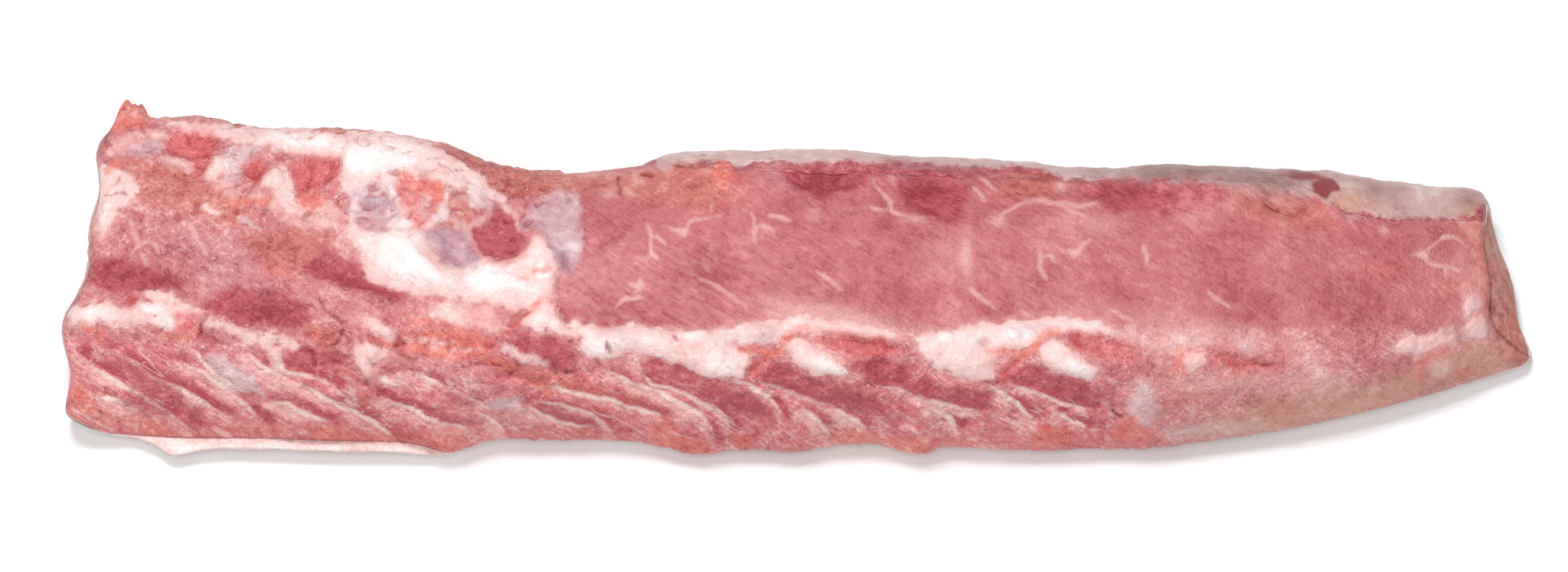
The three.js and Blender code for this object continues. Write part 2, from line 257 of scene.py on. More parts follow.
def end_shift(x, place):
    """How far the true cut ends lie from straight ones."""
    up = face_up(place)
    y, z = place[..., 0], place[..., 1]
    # the shoulder's cut leans in towards the belly, and its foot is cut away
    corner = 11 * smooth((up + 15) / 48) + 5 * smooth((up - 70) / 20)
    shoulder = corner + 26 * smooth((-52 - up) / 18) + 1.8 * np.sin(up / 7)
    # the rump's cut is slanted at its foot, and leans in with height
    face_foot = 0.5 - 0.22 * np.maximum(y + 29, 0)
    rump = mix(face_foot, -23, smooth(z / 40)) + np.sin(up / 6)
    near_shoulder = np.clip(1 - (x + END) / SHOULDER_BEND, 0, 1) ** 2
    near_rump = np.clip(1 - (END - x) / RUMP_BEND, 0, 1) ** 2
    return shoulder * near_shoulder + rump * near_rump


# ---------- What shows on the bone side ----------
# The camera looks down at the loin, and covers 36 mm of film with a lens of 135 mm.
CAMERA = {"lens": 135, "film": 36, "away": 2813, "elevation": 65, "target": (-9.3, -12.2, 35)}
PHOTO = {"wide": 2048, "middle": (1024, 373.5)}
# How far behind the target each part of the bone side is, by its v.
BEHIND = {"v": (-75, -25, 82), "by": (-6, -49, 1)}


def on_loin(pixel):
    """The place on the loin that a pixel of the photograph shows: x, and v, the distance up the face."""
    x, y, z = CAMERA["target"]
    middle = (y + BOX_MIDDLE[1]) * math.cos(FACE_TILT) + z * math.sin(FACE_TILT)
    v = middle
    for _ in range(3):
        away = CAMERA["away"] + float(np.interp(v, BEHIND["v"], BEHIND["by"]))
        step = away * CAMERA["film"] / CAMERA["lens"] / PHOTO["wide"]
        v = middle - (pixel[1] - PHOTO["middle"][1]) * step
    return x + BOX_MIDDLE[0] + (pixel[0] - PHOTO["middle"][0]) * step, v


# Places are read off the photograph, in its frame of 2048 x 747 pixels; on_loin() turns them into
# places on the loin. Sizes beside them are in millimetres. Oval patches are (place, half length, half width,
# turn).

# The white sheets between the muscle bundles of the chine face.
SEPTA = {
    "shoulder end, lowest": [(120, 517), (145, 522), (175, 535), (200, 545)],
    "shoulder end, low": [(97, 462), (115, 480), (145, 498), (180, 518), (215, 540), (250, 562)],
    "shoulder end, bright": [(132, 452), (165, 472), (200, 497), (240, 512), (275, 533), (300, 543)],
    "beside the grey film": [(228, 472), (262, 488), (290, 505), (318, 528), (352, 560)],
    "on the grey film": [(250, 455), (265, 478), (295, 500), (330, 517)],
    "from the junction": [(318, 455), (338, 477), (378, 497)],
    "below the junction": [(358, 472), (375, 487), (405, 493), (440, 508)],
    "second below it": [(380, 498), (410, 513), (440, 530), (462, 543)],
    "third below it": [(350, 525), (378, 530), (405, 543), (432, 551)],
    "at the foot before the first lobe": [(440, 530), (475, 545), (518, 575)],
    "broad one under the torn seam": [(495, 521), (535, 535), (575, 550), (620, 558)],
    "long one under the torn seam": [(525, 483), (555, 495), (590, 510), (625, 525), (652, 538)],
    "above the first lobe": [(630, 540), (648, 552), (657, 567)],
    "from the white wisps": [(685, 530), (715, 545), (750, 556), (775, 560)],
    "below the groove": [(705, 503), (745, 513), (790, 522), (828, 533)],
    "second below the groove": [(700, 523), (740, 532), (775, 545), (800, 570)],
    "under the lens muscle": [(780, 482), (805, 490), (830, 503)],
    "before the second lobe": [(802, 527), (835, 538), (865, 546)],
    "left of the first bundle": [(836, 478), (852, 502), (885, 510), (915, 526), (943, 541), (957, 574)],
    "second left of it": [(800, 487), (845, 508), (890, 527), (920, 545), (937, 577)],
    "right of the first bundle": [(898, 474), (935, 492), (975, 503), (1005, 522), (1024, 548)],
    "under the second bundle": [(983, 495), (1020, 510), (1055, 522), (1095, 532)],
    "before the third lobe": [(1045, 535), (1068, 550), (1085, 574)],
    "past the third lobe": [(1085, 533), (1110, 545), (1132, 562)],
    "under the belt": [(1145, 503), (1185, 511), (1225, 525), (1280, 535)],
    "bright one under it": [(1215, 530), (1238, 543), (1250, 560)],
    "under the third knob": [(1285, 498), (1310, 515), (1335, 535), (1352, 550)],
    "long one under the fourth knob": [(1310, 500), (1350, 513), (1385, 528), (1425, 536)],
    "last one": [(1380, 540), (1400, 553), (1420, 561)],
}
# Veins of fat in the eye muscle and in the flat muscle of the shoulder end.
VEINS = {
    "first star": [(865, 295), (892, 303), (905, 289), (945, 281)],
    "its foot": [(892, 301), (893, 311)],
    "left cross": [(845, 290), (850, 308), (850, 330), (840, 338)],
    "its right arms": [(850, 308), (862, 312), (872, 321)],
    "its lower arm": [(850, 330), (862, 340)],
    "right cross": [(981, 275), (986, 292), (985, 305), (988, 318)],
    "arm of the right cross": [(986, 292), (1002, 293), (1012, 303)],
    "past the right cross": [(1002, 280), (1018, 283), (1033, 288)],
    "under the brown edge": [(822, 238), (823, 252), (833, 252)],
    "second under it": [(931, 252), (931, 262), (928, 277)],
    "star past the silver skin": [(836, 357), (836, 372), (828, 382)],
    "its left arm": [(820, 368), (836, 374)],
    "by the belt": [(802, 400), (820, 389), (845, 388)],
    "broad one under the top band": [(1138, 228), (1150, 245), (1162, 262), (1166, 274), (1186, 282)],
    "its left foot": [(1135, 265), (1158, 273)],
    "under the middle of the band": [(1272, 222), (1283, 232), (1302, 247)],
    "bright one beside it": [(1270, 240), (1278, 250), (1288, 262)],
    "branch": [(1303, 296), (1310, 278), (1330, 265), (1345, 262), (1370, 262), (1400, 275), (1425, 283)],
    "arm of the branch": [(1375, 262), (1410, 268), (1440, 262), (1456, 256)],
    "below the pale seam": [(1263, 372), (1280, 386), (1302, 403)],
    "second star": [(1372, 320), (1403, 331), (1413, 321), (1426, 312)],
    "foot of the second star": [(1403, 330), (1403, 339)],
    "left of the second star": [(1355, 315), (1359, 335), (1360, 355), (1370, 366)],
    "its arm": [(1360, 338), (1372, 336), (1382, 346)],
    "right of the second star": [(1493, 320), (1497, 333), (1498, 346)],
    "streak by the first belt": [(910, 364), (930, 368), (950, 383), (972, 397)],
    "streak past it": [(1062, 352), (1082, 365), (1103, 381)],
    "streak over the first knob": [(1000, 402), (1020, 415)],
    "streak over the third knob": [(1330, 402), (1346, 413)],
    "streak over the fourth knob": [(1450, 403), (1481, 421)],
    "streak of the rump half": [(1575, 380), (1592, 392), (1613, 404)],
    "streak over the rump belt": [(1520, 430), (1536, 441)],
    "rump end": [(1845, 335), (1862, 332), (1872, 342), (1895, 347), (1916, 353)],
    "arch of the rump end": [(1864, 330), (1884, 318), (1892, 311), (1906, 310), (1922, 320)],
    "foot of the rump end": [(1895, 347), (1896, 361)],
    "flat muscle": [(168, 285), (172, 305), (178, 322), (164, 336)],
    "arch of the flat muscle": [(178, 322), (190, 316), (200, 322), (206, 336)],
    "foot of the flat muscle": [(180, 328), (186, 342), (192, 353)],
    "far one of the flat muscle": [(247, 295), (258, 318), (272, 338)],
}
# The band of fat along the belly edge, from its lower edge up. Its corners above the loin's outline carry it
# on down the belly side, which the photograph doesn't show.
TOP_BAND = [
    (858, 219), (905, 218), (938, 207), (960, 221), (1000, 207), (1055, 217), (1110, 210), (1262, 219),
    (1340, 215), (1400, 235), (1600, 238), (1700, 252), (1790, 285), (1905, 288), (1946, 277), (1990, 200),
    (2000, -60), (590, -60), (660, 40), (716, 74), (748, 122), (796, 138), (812, 176), (846, 190),
]
FAT_PATCHES = {
    "tail of the field": [
        (196, 150), (262, 158), (325, 169), (440, 171), (460, 210), (400, 204), (345, 195), (300, 181),
        (240, 163),
    ],
    "field round the bone scars": [
        (440, 170), (545, 182), (578, 202), (620, 226), (648, 250), (640, 285), (612, 300), (640, 346),
        (680, 335), (700, 305), (720, 325), (727, 356), (719, 388), (700, 408), (640, 396), (575, 386),
        (525, 382), (480, 363), (470, 328), (452, 305), (458, 262), (443, 232),
    ],
    "rim of the oval muscle": [(650, 252), (668, 268), (684, 300), (676, 300), (662, 276), (646, 262)],
    "triangle by the crack": [
        (672, 426), (696, 403), (714, 391), (726, 417), (790, 428), (785, 446), (735, 436),
    ],
    "belt past the lens muscle": [
        (756, 428), (815, 430), (823, 416), (832, 431), (925, 436), (975, 424), (1000, 420), (985, 452),
        (960, 455), (980, 470), (962, 498), (905, 484), (870, 466), (830, 455), (790, 470), (764, 462),
    ],
    "belt over the first vessel": [
        (965, 426), (1010, 418), (1060, 412), (1185, 438), (1150, 441), (1062, 427), (1020, 440),
    ],
    "first knob": [
        (1030, 441), (1056, 445), (1078, 462), (1110, 480), (1090, 488), (1058, 486), (1030, 466),
    ],
    "belt over the second knob": [
        (1190, 437), (1240, 434), (1262, 425), (1340, 417), (1395, 414), (1462, 431), (1440, 437),
        (1385, 428), (1340, 458), (1300, 452), (1298, 478), (1290, 497), (1240, 484), (1212, 478),
        (1206, 452),
    ],
    "second knob": [
        (1360, 452), (1385, 443), (1402, 461), (1438, 483), (1425, 491), (1392, 490), (1360, 470),
    ],
    "third knob": ((1560, 470), 4.2, 3.2, 0),
    "knob at the rump end": [(1924, 424), (1938, 412), (1956, 418), (1966, 434), (1950, 444), (1930, 440)],
    "second knob there": ((1930, 399), 3.0, 4.6, -20),
    "film at the rump end": [
        (1826, 458), (1846, 441), (1862, 446), (1884, 436), (1912, 439), (1888, 452), (1866, 465),
        (1846, 458),
    ],
    "cord, upper band": [
        (184, 382), (207, 379), (245, 402), (262, 409), (250, 413), (222, 398), (190, 392),
    ],
    "cord, lower band": [
        (83, 410), (92, 399), (104, 403), (120, 395), (142, 398), (154, 406), (166, 411), (178, 398),
        (196, 391), (216, 397), (234, 402), (246, 412), (238, 424), (222, 432), (205, 430), (188, 422),
        (172, 429), (154, 423), (138, 430), (122, 421), (106, 428), (90, 422),
    ],
    "first lump": ((496, 433), 7.6, 3.2, -32),
    "second lump": ((484, 461), 7.0, 3.0, -8),
    "third lump": ((477, 477), 5.6, 2.6, -48),
    "streak past the lumps": [(498, 494), (514, 496), (537, 503), (512, 503)],
    "ridge between the scars": [
        (337, 245), (352, 226), (378, 216), (374, 245), (382, 276), (396, 281), (368, 274), (352, 250),
    ],
    "film at the left edge": [
        (122, 210), (140, 222), (160, 225), (176, 240), (176, 259), (150, 275), (139, 305), (124, 310),
        (122, 262),
    ],
    "pale wedge of the flat muscle": [(255, 268), (275, 272), (296, 279), (270, 279)],
}
BRIGHT_PATCHES = {
    "upper field": [(445, 196), (480, 190), (540, 208), (530, 226), (480, 232), (446, 225)],
    "middle of the field": [
        (490, 312), (540, 306), (556, 345), (590, 372), (560, 380), (500, 360), (484, 340),
    ],
    "field by the oval muscle": [(600, 362), (640, 352), (700, 372), (712, 390), (650, 385), (610, 378)],
    "tail of the field": ((375, 187), 14, 3.0, -4),
    "over the third scar": ((415, 191), 12, 3.4, -8),
    "first knob": ((1078, 477), 9, 2.8, -18),
    "second knob": ((1404, 478), 9, 3.2, -20),
    "belt past the lens muscle": ((905, 440), 6, 2.6, 0),
    "belt over the second knob": ((1236, 440), 7, 2.2, 0),
    "first lump of the cord": ((121, 411), 5.0, 3.0, 0),
    "second lump of the cord": ((197, 405), 5.4, 3.0, 0),
    "third lump of the cord": ((214, 421), 4.5, 3.0, -20),
}
PINK_PATCHES = {
    "under the torn tip": [
        (150, 180), (180, 172), (205, 165), (212, 170), (195, 180), (160, 192), (132, 205),
    ],
    "below the first scar": [(205, 202), (245, 202), (250, 226), (225, 222), (205, 212)],
    "beside the porous bone": [
        (266, 208), (290, 196), (292, 244), (335, 252), (352, 268), (300, 260), (268, 238),
    ],
    "under the third scar": [(352, 250), (376, 278), (430, 284), (452, 300), (400, 296), (350, 282)],
    "past the ridge": [(384, 270), (410, 262), (440, 268), (452, 290), (420, 285), (396, 282)],
    "left of the crack": [
        (545, 404), (600, 394), (645, 400), (668, 420), (655, 437), (615, 428), (560, 414),
    ],
    "belt past the second knob": [(1445, 432), (1500, 438), (1560, 456), (1540, 462), (1480, 452)],
    "belt of the rump half": [
        (1462, 431), (1520, 440), (1580, 437), (1640, 447), (1700, 464), (1750, 462), (1745, 474),
        (1690, 473), (1640, 461), (1575, 452), (1500, 452),
    ],
    "lobes of the rump half": [(1702, 468), (1738, 474), (1742, 500), (1712, 502)],
    "past the last vessel": ((1893, 475), 5, 4, 20),
}
FILM_PATCHES = {
    "clear fat by the lens muscle": [
        (775, 431), (818, 430), (832, 446), (822, 456), (790, 470), (772, 462),
    ],
    "clear fat by the first vessel": ((1000, 437), 8, 5, -8),
    "clear fat by the second vessel": [(1300, 428), (1343, 420), (1352, 438), (1335, 455), (1306, 448)],
    "between the scars": [
        (510, 250), (540, 242), (600, 244), (645, 262), (650, 284), (616, 302), (560, 304), (520, 306),
        (512, 270),
    ],
    "porous bone": [(292, 190), (320, 188), (338, 196), (320, 212), (317, 238), (296, 240), (288, 215)],
    "grey film of the shoulder end": [(265, 462), (300, 470), (350, 517), (320, 514), (268, 478)],
    "white wisps": [(636, 524), (662, 518), (690, 528), (664, 535), (644, 534)],
    "blob at the foot": ((1492, 527), 6.6, 10.5, 12),
    "pale foot past the blob": [(1506, 560), (1560, 557), (1650, 552), (1650, 560), (1545, 568)],
    "wedge of the flat muscle": [(305, 281), (330, 290), (345, 301), (325, 296)],
}
LILAC_PATCHES = {
    "pocket": [
        (452, 246), (475, 236), (505, 243), (517, 265), (508, 298), (485, 307), (462, 292), (450, 265),
    ],
    "silver skin": [
        (690, 262), (725, 253), (750, 244), (762, 270), (757, 298), (764, 315), (752, 361), (737, 357),
        (716, 320), (708, 302), (680, 298), (682, 283), (698, 280),
    ],
    "shiny film": ((641, 262), 6.4, 3.4, -18),
    "flat of the torn end": [(150, 202), (175, 187), (208, 180), (215, 190), (198, 198), (165, 204)],
}
VIOLET_PATCHES = {
    "cartilage": [(556, 306), (576, 296), (612, 300), (638, 338), (610, 352), (584, 346), (564, 326)],
    "foot of the silver skin": [(714, 318), (730, 320), (748, 336), (748, 352), (738, 354), (724, 338)],
    "middle of the pocket": ((484, 262), 7, 3.4, -20),
}
BROWN_PATCHES = {
    "edge behind the scars": [
        (552, 184), (590, 187), (655, 217), (800, 218), (806, 250), (748, 247), (690, 258), (650, 250),
        (612, 213),
    ],
    "edge over the eye muscle": [
        (800, 218), (880, 216), (935, 214), (955, 240), (935, 275), (860, 268), (808, 252),
    ],
    "flat muscle, upper part": [
        (150, 206), (190, 204), (262, 232), (300, 256), (346, 290), (345, 306), (245, 284), (178, 272),
        (170, 235),
    ],
    "flat muscle, far part": [
        (300, 302), (400, 298), (445, 312), (420, 326), (390, 350), (345, 350), (330, 322),
    ],
    "torn hole": [(394, 434), (408, 423), (436, 423), (446, 434), (438, 450), (408, 450)],
    "fold under the top band": [
        (1302, 236), (1340, 225), (1376, 230), (1386, 250), (1340, 264), (1304, 258),
    ],
    "torn belly edge": [(1608, 246), (1690, 258), (1740, 272), (1742, 300), (1690, 300), (1612, 272)],
    "corner of the rump end": [(1908, 292), (1944, 284), (1962, 330), (1944, 330), (1918, 310)],
}
CRIMSON_PATCHES = {
    "under the field": [
        (392, 338), (412, 322), (440, 328), (475, 358), (530, 383), (512, 392), (450, 372), (400, 360),
    ],
    "under the top band": [
        (1018, 220), (1060, 220), (1070, 214), (1140, 214), (1142, 234), (1066, 248), (1035, 244),
    ],
    "wedge under the violet patch": [
        (1164, 236), (1200, 223), (1242, 222), (1264, 245), (1255, 290), (1200, 276),
    ],
    "past the orange fold": [(1396, 241), (1490, 240), (1605, 243), (1600, 268), (1495, 278), (1440, 266)],
    "foot of the flat muscle": [(112, 348), (150, 335), (205, 358), (250, 378), (190, 378), (120, 380)],
    "by the torn hole": [(262, 404), (285, 378), (340, 378), (400, 398), (400, 430), (330, 424)],
    "below the junction": [(372, 458), (402, 455), (450, 463), (450, 478), (378, 478)],
    "bundle of the shoulder end": [
        (130, 462), (158, 473), (200, 496), (240, 522), (232, 530), (170, 496), (136, 478),
    ],
    "lower bundle there": [(158, 514), (190, 524), (225, 545), (195, 547), (165, 532)],
    "short bundle there": [(243, 528), (254, 532), (262, 546), (250, 550)],
    "first bundle": [(850, 462), (890, 475), (990, 520), (1014, 548), (985, 542), (905, 515), (840, 482)],
    "second bundle": [
        (1003, 474), (1040, 484), (1110, 503), (1162, 530), (1150, 546), (1050, 520), (1000, 498),
    ],
    "bundle under the third knob": [(1165, 490), (1230, 498), (1300, 514), (1290, 530), (1165, 508)],
    "third bundle": [
        (1326, 474), (1370, 484), (1432, 500), (1462, 522), (1420, 526), (1355, 510), (1320, 496),
    ],
    "bundle under the wisps": [(692, 524), (760, 545), (795, 562), (745, 552)],
    "bundle above the first lobe": [(560, 504), (600, 513), (628, 531), (592, 522)],
    "second bundle above it": [(548, 530), (600, 542), (620, 552), (580, 548)],
    "dark lines past the first knob": [(1108, 470), (1190, 476), (1190, 484), (1140, 497), (1120, 484)],
}
MEAT_IN_FAT_PATCHES = {
    "oval muscle": [(612, 284), (640, 268), (668, 274), (692, 316), (678, 342), (650, 352), (622, 334)],
    "in the pocket": [(468, 286), (484, 280), (508, 298), (500, 306), (474, 300)],
    "lens muscle": [
        (655, 449), (684, 440), (716, 439), (748, 453), (752, 478), (738, 486), (712, 478), (668, 470),
    ],
}
GRISTLE_IN_FAT_PATCHES = {
    "beside the oval muscle": [
        (560, 304), (585, 284), (622, 272), (636, 280), (616, 300), (620, 322), (600, 306),
    ],
    "upper gristle": [(583, 258), (596, 245), (608, 246), (613, 262), (602, 281), (588, 274)],
}
BLOOD_PATCHES = {
    "first scar": [
        (212, 174), (224, 164), (268, 164), (284, 183), (270, 198), (262, 229), (248, 226), (246, 201),
        (212, 198),
    ],
    "second scar": [(317, 212), (328, 205), (346, 209), (349, 223), (335, 246), (320, 226)],
    "third scar": [(379, 228), (384, 210), (405, 206), (442, 211), (442, 232), (412, 243), (388, 240)],
    "fourth scar": [
        (515, 237), (530, 229), (562, 232), (578, 244), (572, 268), (556, 300), (532, 292), (522, 262),
    ],
    "red knob of the cord": ((240, 423), 5.6, 4.6, -20),
    "above the cord": [(158, 389), (177, 386), (176, 401), (170, 412), (163, 401)],
    "pit below the first vessel": [(970, 495), (978, 478), (1000, 465), (1005, 474), (986, 492)],
    "past the first knob": [(1068, 436), (1110, 438), (1165, 447), (1178, 460), (1120, 466), (1082, 456)],
    "pit below the second vessel": [(1300, 493), (1312, 478), (1328, 464), (1337, 474), (1318, 492)],
    "past the second knob": [(1392, 434), (1425, 436), (1482, 451), (1482, 476), (1440, 468), (1405, 452)],
    "past the third knob": [(1576, 461), (1602, 458), (1640, 471), (1682, 478), (1650, 487), (1600, 482)],
}
CORAL_PATCHES = {
    "torn tip": [(146, 122), (172, 118), (198, 128), (200, 150), (180, 168), (140, 178), (136, 150)],
    "left edge below the tip": [(130, 230), (136, 214), (150, 206), (150, 218), (138, 232)],
    "torn seam": [
        (475, 436), (520, 450), (560, 434), (612, 430), (634, 446), (622, 462), (580, 474), (545, 460),
        (500, 452),
    ],
    "coral spot above the seam": ((548, 420), 4.4, 1.8, -10),
    "lower half of the third scar": [(386, 242), (414, 244), (426, 252), (406, 276), (392, 270)],
    "bar of the fourth scar": [
        (514, 226), (550, 235), (584, 238), (578, 262), (564, 282), (566, 256), (535, 247),
    ],
    "edge over the eye muscle": [(928, 216), (950, 211), (958, 232), (950, 256), (934, 244)],
    "corner of the shoulder end": [(88, 506), (100, 501), (114, 511), (123, 527), (110, 542), (92, 530)],
    "foot of the shoulder end": [(174, 549), (212, 556), (222, 564), (210, 573), (186, 570)],
    "foot before the first lobe": [(396, 561), (430, 555), (462, 568), (458, 583), (415, 578)],
    "foot of the first lobe": ((588, 574), 7, 6, 20),
    "foot of the second lobe": [
        (850, 557), (881, 556), (888, 574), (928, 572), (924, 592), (888, 590), (855, 582),
    ],
    "past the second lobe": ((968, 572), 5.5, 3.6, -20),
    "foot of the third lobe": ((1115, 572), 9, 2.6, -8),
    "foot past the third lobe": ((1185, 580), 9, 3.4, -4),
    "foot of the middle": [(1342, 572), (1370, 556), (1396, 562), (1396, 580), (1352, 584)],
    "foot by the blob": [(1448, 572), (1454, 555), (1476, 545), (1497, 554), (1510, 572), (1475, 578)],
    "foot of the rump end": ((1927, 486), 4, 2.4, 20),
    "spot in the torn hole": ((413, 435), 2.4, 1.6, 0),
}
DARK_RED_PATCHES = {
    "bead on the belly edge": ((917, 202), 2.6, 1.6, 0),
    "wedge at the belly edge": [
        (1710, 236), (1726, 230), (1744, 229), (1757, 238), (1758, 252), (1746, 255), (1734, 263),
        (1718, 254),
    ],
    "its thin end": ((1706, 228), 11, 3.4, -10),
}
# Lines, each with its half width.
ORANGE_LINES = {
    "crack beside the belt": ([(657, 436), (682, 415), (695, 402), (715, 386)], 1.0),
    "wedge at the foot of the crack": ([(616, 465), (630, 456), (636, 443)], 1.7),
    "groove below the crack": ([(640, 471), (668, 485), (700, 502), (716, 511)], 1.7),
    "first vessel": ([(1055, 428), (1036, 433), (1026, 446), (1017, 459), (1003, 463)], 1.7),
    "arm of the first vessel": ([(1002, 462), (986, 456), (968, 458)], 1.2),
    "second vessel": ([(1382, 433), (1364, 438), (1354, 450), (1344, 461), (1328, 464)], 1.7),
    "arm of the second vessel": ([(1326, 463), (1312, 457), (1290, 460)], 1.2),
    "third vessel": ([(1566, 455), (1548, 460), (1540, 471), (1540, 486)], 1.7),
    "last vessel": ([(1893, 457), (1875, 463), (1868, 475), (1861, 489)], 1.9),
    "under the cord": ([(104, 425), (112, 433), (124, 437), (137, 427)], 1.1),
    "groove round the knob of the cord": ([(213, 436), (228, 444), (244, 443), (257, 432)], 1.2),
    "thread of the third scar": ([(440, 241), (420, 262), (398, 279)], 0.5),
    "slit of the rump end": ([(1880, 372), (1900, 375), (1922, 371)], 0.9),
    "stroke over the silver skin": ([(697, 358), (718, 353)], 1.1),
    "streak over the flat muscle": ([(297, 266), (325, 264), (350, 264)], 1.2),
}
# Dark lines: partly dark blood, partly painted shade in slits, grooves and under lumps.
DARK_LINES = {
    "below the junction": ([(393, 456), (405, 460), (410, 477)], 0.9),
    "over the torn hole": ([(418, 390), (426, 407), (446, 423)], 0.7),
    "rim of the torn hole": ([(446, 431), (443, 445), (434, 451)], 0.9),
    "past the knob of the cord": ([(268, 415), (262, 423), (261, 433)], 0.5),
    "tick in the clear fat": ([(793, 447), (796, 460)], 0.7),
    "by the third knob": ([(1217, 473), (1210, 485), (1208, 494)], 0.3),
    "in the first belt": ([(881, 440), (888, 451)], 0.4),
    "corner by the blob": ([(1450, 530), (1458, 543), (1466, 545)], 0.4),
    "slit of the belly edge": ([(1655, 265), (1671, 272)], 0.6),
    "under the lens muscle": ([(738, 486), (754, 484)], 0.7),
    "under the first lump": ([(516, 452), (528, 446)], 0.7),
    "brown edge": ([(838, 222), (852, 226)], 0.7),
    "down the brown edge": ([(808, 228), (809, 252)], 0.5),
}
CREAM_LINES = {
    "cord further on": ([(268, 421), (292, 427), (318, 441)], 1.7),
    "junction": ([(318, 442), (350, 442), (384, 450)], 2.2),
    "foot of the junction": ([(342, 444), (354, 460), (364, 478)], 2.4),
    "edge of the third scar": ([(374, 234), (377, 256), (396, 280)], 1.2),
    "thread of the torn seam": ([(520, 451), (548, 443), (590, 449)], 0.5),
    "second thread": ([(560, 452), (595, 457), (626, 456)], 0.5),
    "third thread": ([(540, 412), (570, 410), (600, 418)], 0.6),
    "tendon of the lens muscle": ([(660, 456), (684, 465), (707, 474)], 2.0),
    "over the film of the rump end": ([(1842, 432), (1852, 440), (1866, 443)], 0.7),
}
# The dusky rim along the top of the field of fat.
RIM_LINES = {
    "over the tail": ([(208, 151), (262, 157), (330, 168)], 0.9),
    "over the field": ([(400, 170), (455, 172), (503, 181)], 1.5),
}
# The porous end of a bone.
PORES = {"porous bone": ((306, 214), 5.5, 9.5, 6)}
